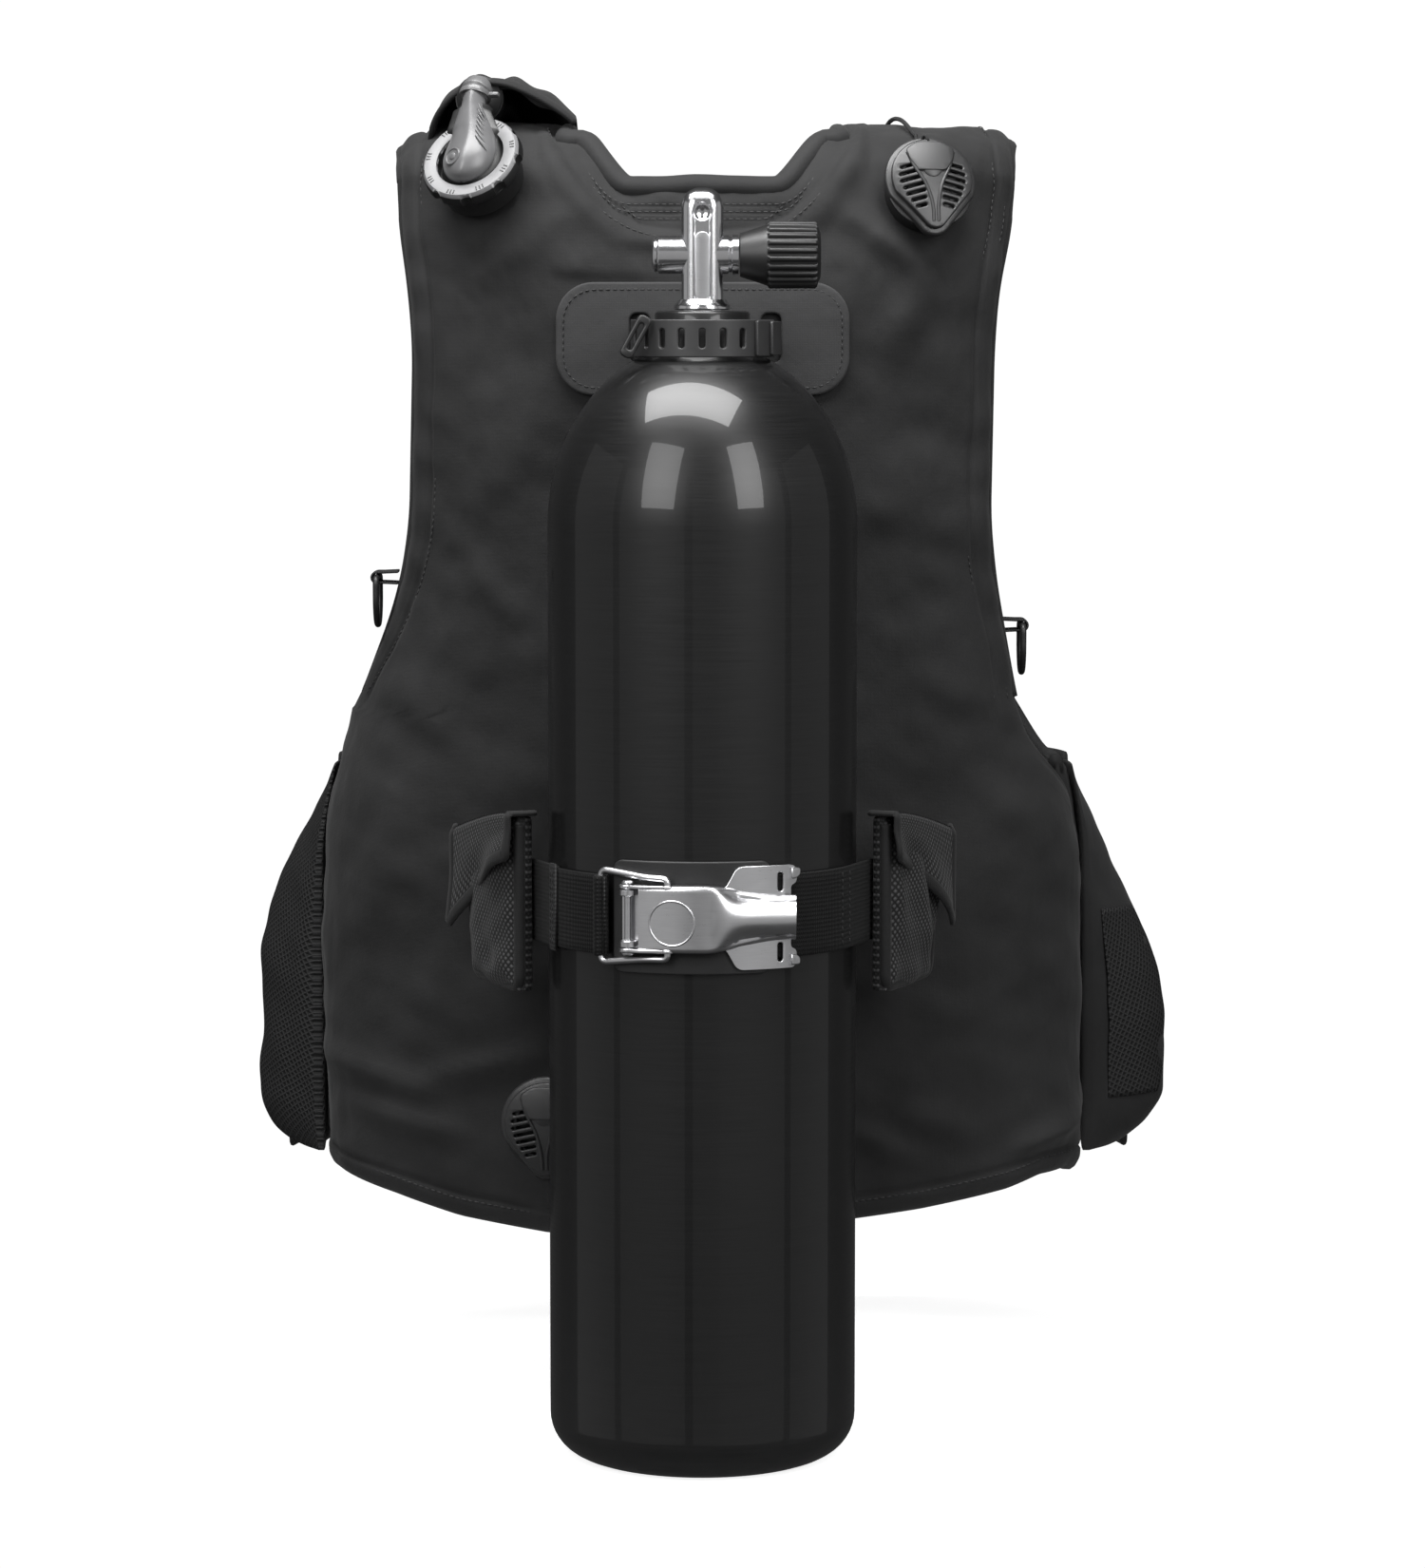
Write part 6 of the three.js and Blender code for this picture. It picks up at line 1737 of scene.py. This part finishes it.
def build_inflator():
    top = np.array([-105.0, 384.0, 560.0])
    barrel = turned([(0, -108), (12.5, -108), (14.2, -106.6), (16, -101), (16, -70), (15.2, -68.6),
                     (15.2, -62), (16, -60.6), (16, -8), (15.4, -5.4), (13.4, -3), (12, -2.4), (0, -2.4)], 64)
    boss = turned([(0, 0), (11.6, 0), (11.4, 19), (11, 22.6), (10.2, 24), (9.2, 23.6), (9.2, 17),
                   (0, 17)], 48)
    inflate, deflate = to_left(top + (0, 0, -42)), to_front(top + (0, 0, -84))
    parts = [moved(barrel, top), moved(boss, inflate), moved(boss, deflate)]
    nipple = turned([(0, 0), (7.5, 0), (7.5, 17), (5, 18.4), (5, 23), (4, 24), (4, 25.4), (5, 26.4), (5, 29),
                     (4.2, 30), (0, 30)], 36)
    parts.append(moved(nipple, to_right(top + (0, 0, -66))))
    bar = plate([rounded_outline(1.8, 42, 0.8, 3)], 2.2, 0.6)
    for a in np.radians(range(-150, -29, 20)):
        out, side = np.array([math.cos(a), math.sin(a), 0]), (-math.sin(a), math.cos(a), 0)
        parts.append(moved(bar, basis(top + 15.8 * out + (0, 0, -32), side, (0, 0, 1), out)))
    make("inflator_barrel", *joined_parts(parts), "plastic", "black_plastic", "inflator_body", sharp=40)
    cap = turned([(0, 20.5), (8.4, 20.5), (8.6, 21), (8.6, 28), (7.8, 29.6), (6.4, 30), (5.6, 29.2),
                  (0, 29.0)], 44)
    for name, place, look in (("inflate", inflate, "ring"), ("deflate", deflate, "button")):
        make(f"{name}_cap", *moved(cap, place), look, "button_plastic", f"{name}_button",
             body=f"{name}_button", sharp=40)
    spine = smooth_path(np.array([(0, 0, -109.5), (0, 2, -122), (0, 10, -136), (0, 16, -143)]) + top, 40)
    share = np.linspace(0, 1, 40)
    size = mix(12, 16, ease(share, 0.5, 1)) / 16 * (1 - 0.06 * np.cos(share * 50) * (share < 0.55))
    horn = swept(spine, oval(32, 20, 40, 0.85), np.tile((0, 1.0, 0.3), (40, 1)), scale=size)
    make("mouthpiece", *horn[:2], "rubber", "soft_rubber", "inflator_mouthpiece", sharp=60)


# ---------------------------------------------------------------- dump valves

COVER_DOME = 0.0042


def egg_outline(grow):
    """Heart-like outline that narrows downwards."""
    top = arc((0, 3), 26 + grow, 68, 292, 40)
    foot = arc((0, -22), 8.5 + grow, -42, 42, 10)
    return softened(np.concatenate([top, foot, top[:1]]), 4, 3)[:-1]


def egg_half_width(y):
    """Half the width of a dump valve cover at y."""
    return np.interp(y, [-30, -26, -18, -8, 3, 16, 26, 29], [3, 9, 15.5, 22, 26, 22.6, 12, 3])


def build_dump_valve(prefix, spot, axis):
    place = aimed(spot, axis)
    disc = turned([(8, -11), (25.6, -11), (27, -1), (27.5, 1), (27.3, 2.6), (26.6, 3), (8, 3), (8, -11)], 72)
    make(f"{prefix}_valve_seat", *moved(disc, place), "plastic", "black_plastic", f"{prefix}_dump_base",
         sharp=40)

    def domed(base):
        return lambda p: np.column_stack([
            p[:, :2], p[:, 2] + base - COVER_DOME * (p[:, 0] ** 2 + p[:, 1] ** 2)])

    skirt = plate([egg_outline(2.5), rounded_outline(36, 36, 17.9, 12)], 5.2, 1.2, (4, 4), domed(6.4))
    slots = []
    for way in (-1, 1):
        for k in range(7):
            y = 9.5 - 4.3 * k
            inner, outer = 5.0 + max(0, y + 4) * 0.52, egg_half_width(y) - 4.4
            long = outer - inner
            turn = math.radians(-way * 14)
            c, s = math.cos(turn), math.sin(turn)
            if long >= 3:
                slots.append(rounded_outline(long, 2.1, 1.0, 4) @ np.array([(c, s), (-s, c)])
                             + (way * (inner + long / 2), y))
    lid = plate([egg_outline(-0.6), *slots], 3.4, 0.9, (4, 4), domed(10.9))
    ridges = []
    for way in (-1, 1):
        line = smooth_path([(way * 14.5, 19, 0), (way * 11.5, 10, 0), (way * 5, -3, 0), (way * 1.8, -16, 0),
                            (way * 1.5, -26, 0)], 36)
        line[:, 2] = 12.7 - COVER_DOME * (line[:, 0] ** 2 + line[:, 1] ** 2)
        ridges.append(swept(line, oval(2.2, 1.9, 10), np.tile((0, 0, 1.0), (36, 1)))[:2])
    crown = plate([softened([(-9, 6), (9, 6), (14, 14), (15.5, 21), (8, 26), (-8, 26), (-15.5, 21), (-14, 14),
                             (-9, 6.01)], 3, 4)[:-1]], 2.2, 0.8, (4, 4), domed(13.1))
    hub = turned([(0, 11.6), (6.2, 11.6), (6, 12.9), (4.8, 13.4), (0, 13.4)], 30)
    cover = joined_parts([skirt, lid, *ridges, crown, moved(hub, (0, 8, 0))])
    make(f"{prefix}_valve_cover", *moved(cover, place), "cover", "cover_plastic", f"{prefix}_dump_cover",
         sharp=38)
    disc = turned([(0, 0.5), (6, 0.5), (6, 3.6), (14.6, 3.6), (15, 4), (14.6, 4.9), (0, 4.9)], 48)
    make(f"{prefix}_valve_disc", *moved(disc, place), "rubber", "soft_rubber", f"{prefix}_dump_poppet",
         body=f"{prefix}_poppet", sharp=40)


def build_dump_valves():
    upper = (139, 117, 762), (0.2, -0.9, 0.36)
    build_dump_valve("upper", *upper)
    build_dump_valve("lower", (-97, 100.5, 181), (-0.14, -0.99, 0))
    route = np.array([over_shoulder(x, t, THICK + lift) for x, t, lift in CORD_ROUTE])
    tube("dump_pull_cord", smooth_path(route, 160), 1.4, "braid", "cord_braid", 12, nodes="dump_cord")
    start = aimed(*upper)([(0, 27, 9), (-2, 31, 8.5)])
    lead = smooth_path([*start, over_shoulder(133.5, 0.105, THICK + 2.2),
                        over_shoulder(132.5, 0.13, THICK + 2.2), route[0]], 40)
    tube("dump_cord_lead", lead, 1.1, "braid", "cord_braid", 10)
    knot = [(0.2, -14), (4.2, -14), (5, -13.2), (7.6, -5), (8, -3), (8, 5), (7.4, 6.8), (5, 9.4), (3.6, 10),
            (0.2, 10)]
    knob = turned(knot, 40)
    end, way = route[-1], unit(route[-1] - route[-2])
    side = unit(np.cross((0, 0, 1), way))
    place = basis(end, side, np.cross(way, side), way)
    make("dump_pull_knob", place(knob[0] * (1, 0.72, 1)), knob[1], "plastic", "black_plastic", "dump_knob",
         body="dump_knob", sharp=50)


# ---------------------------------------------------------------- studio

CAMERA_SPOT, CAMERA_AIM, LENS = (0.006, -2.77, 0.676), (0.006, 0, 0.405), 107.0


def build_studio():
    scene = bpy.context.scene
    scene.view_settings.view_transform = "Standard"
    world = bpy.data.worlds.new("studio")
    scene.world = world
    world.use_nodes = True
    tree = world.node_tree
    seen = tree.nodes.new("ShaderNodeBackground")
    for background, strength in ((tree.nodes["Background"], 0.05), (seen, 1.05)):
        background.inputs["Color"].default_value = (1, 1, 1, 1)
        background.inputs["Strength"].default_value = strength
    ray = node(tree, "LightPath").outputs["Is Camera Ray"]
    choice = node(tree, "MixShader", {"Fac": ray, 1: tree.nodes["Background"].outputs[0], 2: seen.outputs[0]})
    tree.links.new(choice.outputs["Shader"], tree.nodes["World Output"].inputs["Surface"])

    look, tree, shader = new_look("floor_paper", (0.6, 0.6, 0.6), 0.9, Specular_IOR_Level=0.1,
                                  Emission_Color=(1, 1, 1, 1), Emission_Strength=0.85)
    tone = noise_at(tree, coords(tree), 300, 2)
    colour_between(tree, shader, tone, (0.58,) * 3, (0.62,) * 3)
    mesh = bpy.data.meshes.new("floor")
    mesh.from_pydata([(-0.3, -0.12, 0), (0.3, -0.12, 0), (0.3, 0.45, 0), (-0.3, 0.45, 0)], [],
                     [(0, 1, 2, 3)])
    floor = bpy.data.objects.new("floor", mesh)
    scene.collection.objects.link(floor)
    mesh.materials.append(look)
    floor.visible_glossy = False

    def softbox(name, spot, aim, size, power):
        light = bpy.data.lights.new(name, "AREA")
        light.shape, light.size, light.size_y, light.energy = "RECTANGLE", *size, power
        holder = bpy.data.objects.new(name, light)
        scene.collection.objects.link(holder)
        holder.location = spot
        holder.rotation_euler = (Vector(aim) - Vector(spot)).to_track_quat("-Z", "Y").to_euler()

    for name, azimuth, distance, height, size, power in (
            ("front_left", -38, 3.1, 0.6, (2.9, 3.3), 7.2), ("side_left", -88, 3.1, 0.6, (2.2, 3.3), 5.5),
            ("front_right", 38, 3.1, 0.6, (2.9, 3.3), 7.8), ("behind_camera", 3, 3.4, 0.6, (1.2, 3.3), 2.6),
            ("side_right", 88, 3.1, 0.6, (2.2, 3.3), 5.5), ("high_left", -33, 2.0, 1.55, (1.0, 1.4), 25),
            ("high_right", 36, 2.0, 1.55, (0.8, 1.4), 25)):
        a = math.radians(azimuth)
        softbox(name, (distance * math.sin(a), -distance * math.cos(a), height), (0, 0, 0.6), size, power)
    softbox("top", (-0.2, -0.32, 2.1), (-0.1, 0.05, 0.6), (1.7, 0.75), 60)

    lens = bpy.data.cameras.new("camera")
    lens.lens, lens.sensor_width = LENS, 36.0
    camera = bpy.data.objects.new("camera", lens)
    scene.collection.objects.link(camera)
    camera.location = CAMERA_SPOT
    aim = Vector(CAMERA_AIM) - camera.location
    camera.rotation_euler = aim.to_track_quat("-Z", "Y").to_euler()
    scene.camera = camera


# ---------------------------------------------------------------- assembly

build_studio()
build_shell()
build_cylinder()
build_valve()
build_neck_panel()
build_neck_strap()
build_band()
build_cam_buckle()
for side, name in SIDES:
    build_front_panel(side, name)
build_cushion()
build_cradle()
for (side, name), depth in zip(SIDES, (46, 57)):
    build_side_pocket(side, name, depth)
build_cummerbund()
build_harness()
for side, name in SIDES:
    build_trim_pocket(side, name)
build_elbow()
build_hose()
build_inflator()
build_dump_valves()
dip_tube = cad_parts["dip_tube"].data.materials
dip_tube.clear()
dip_tube.append(LOOKS["steel"])
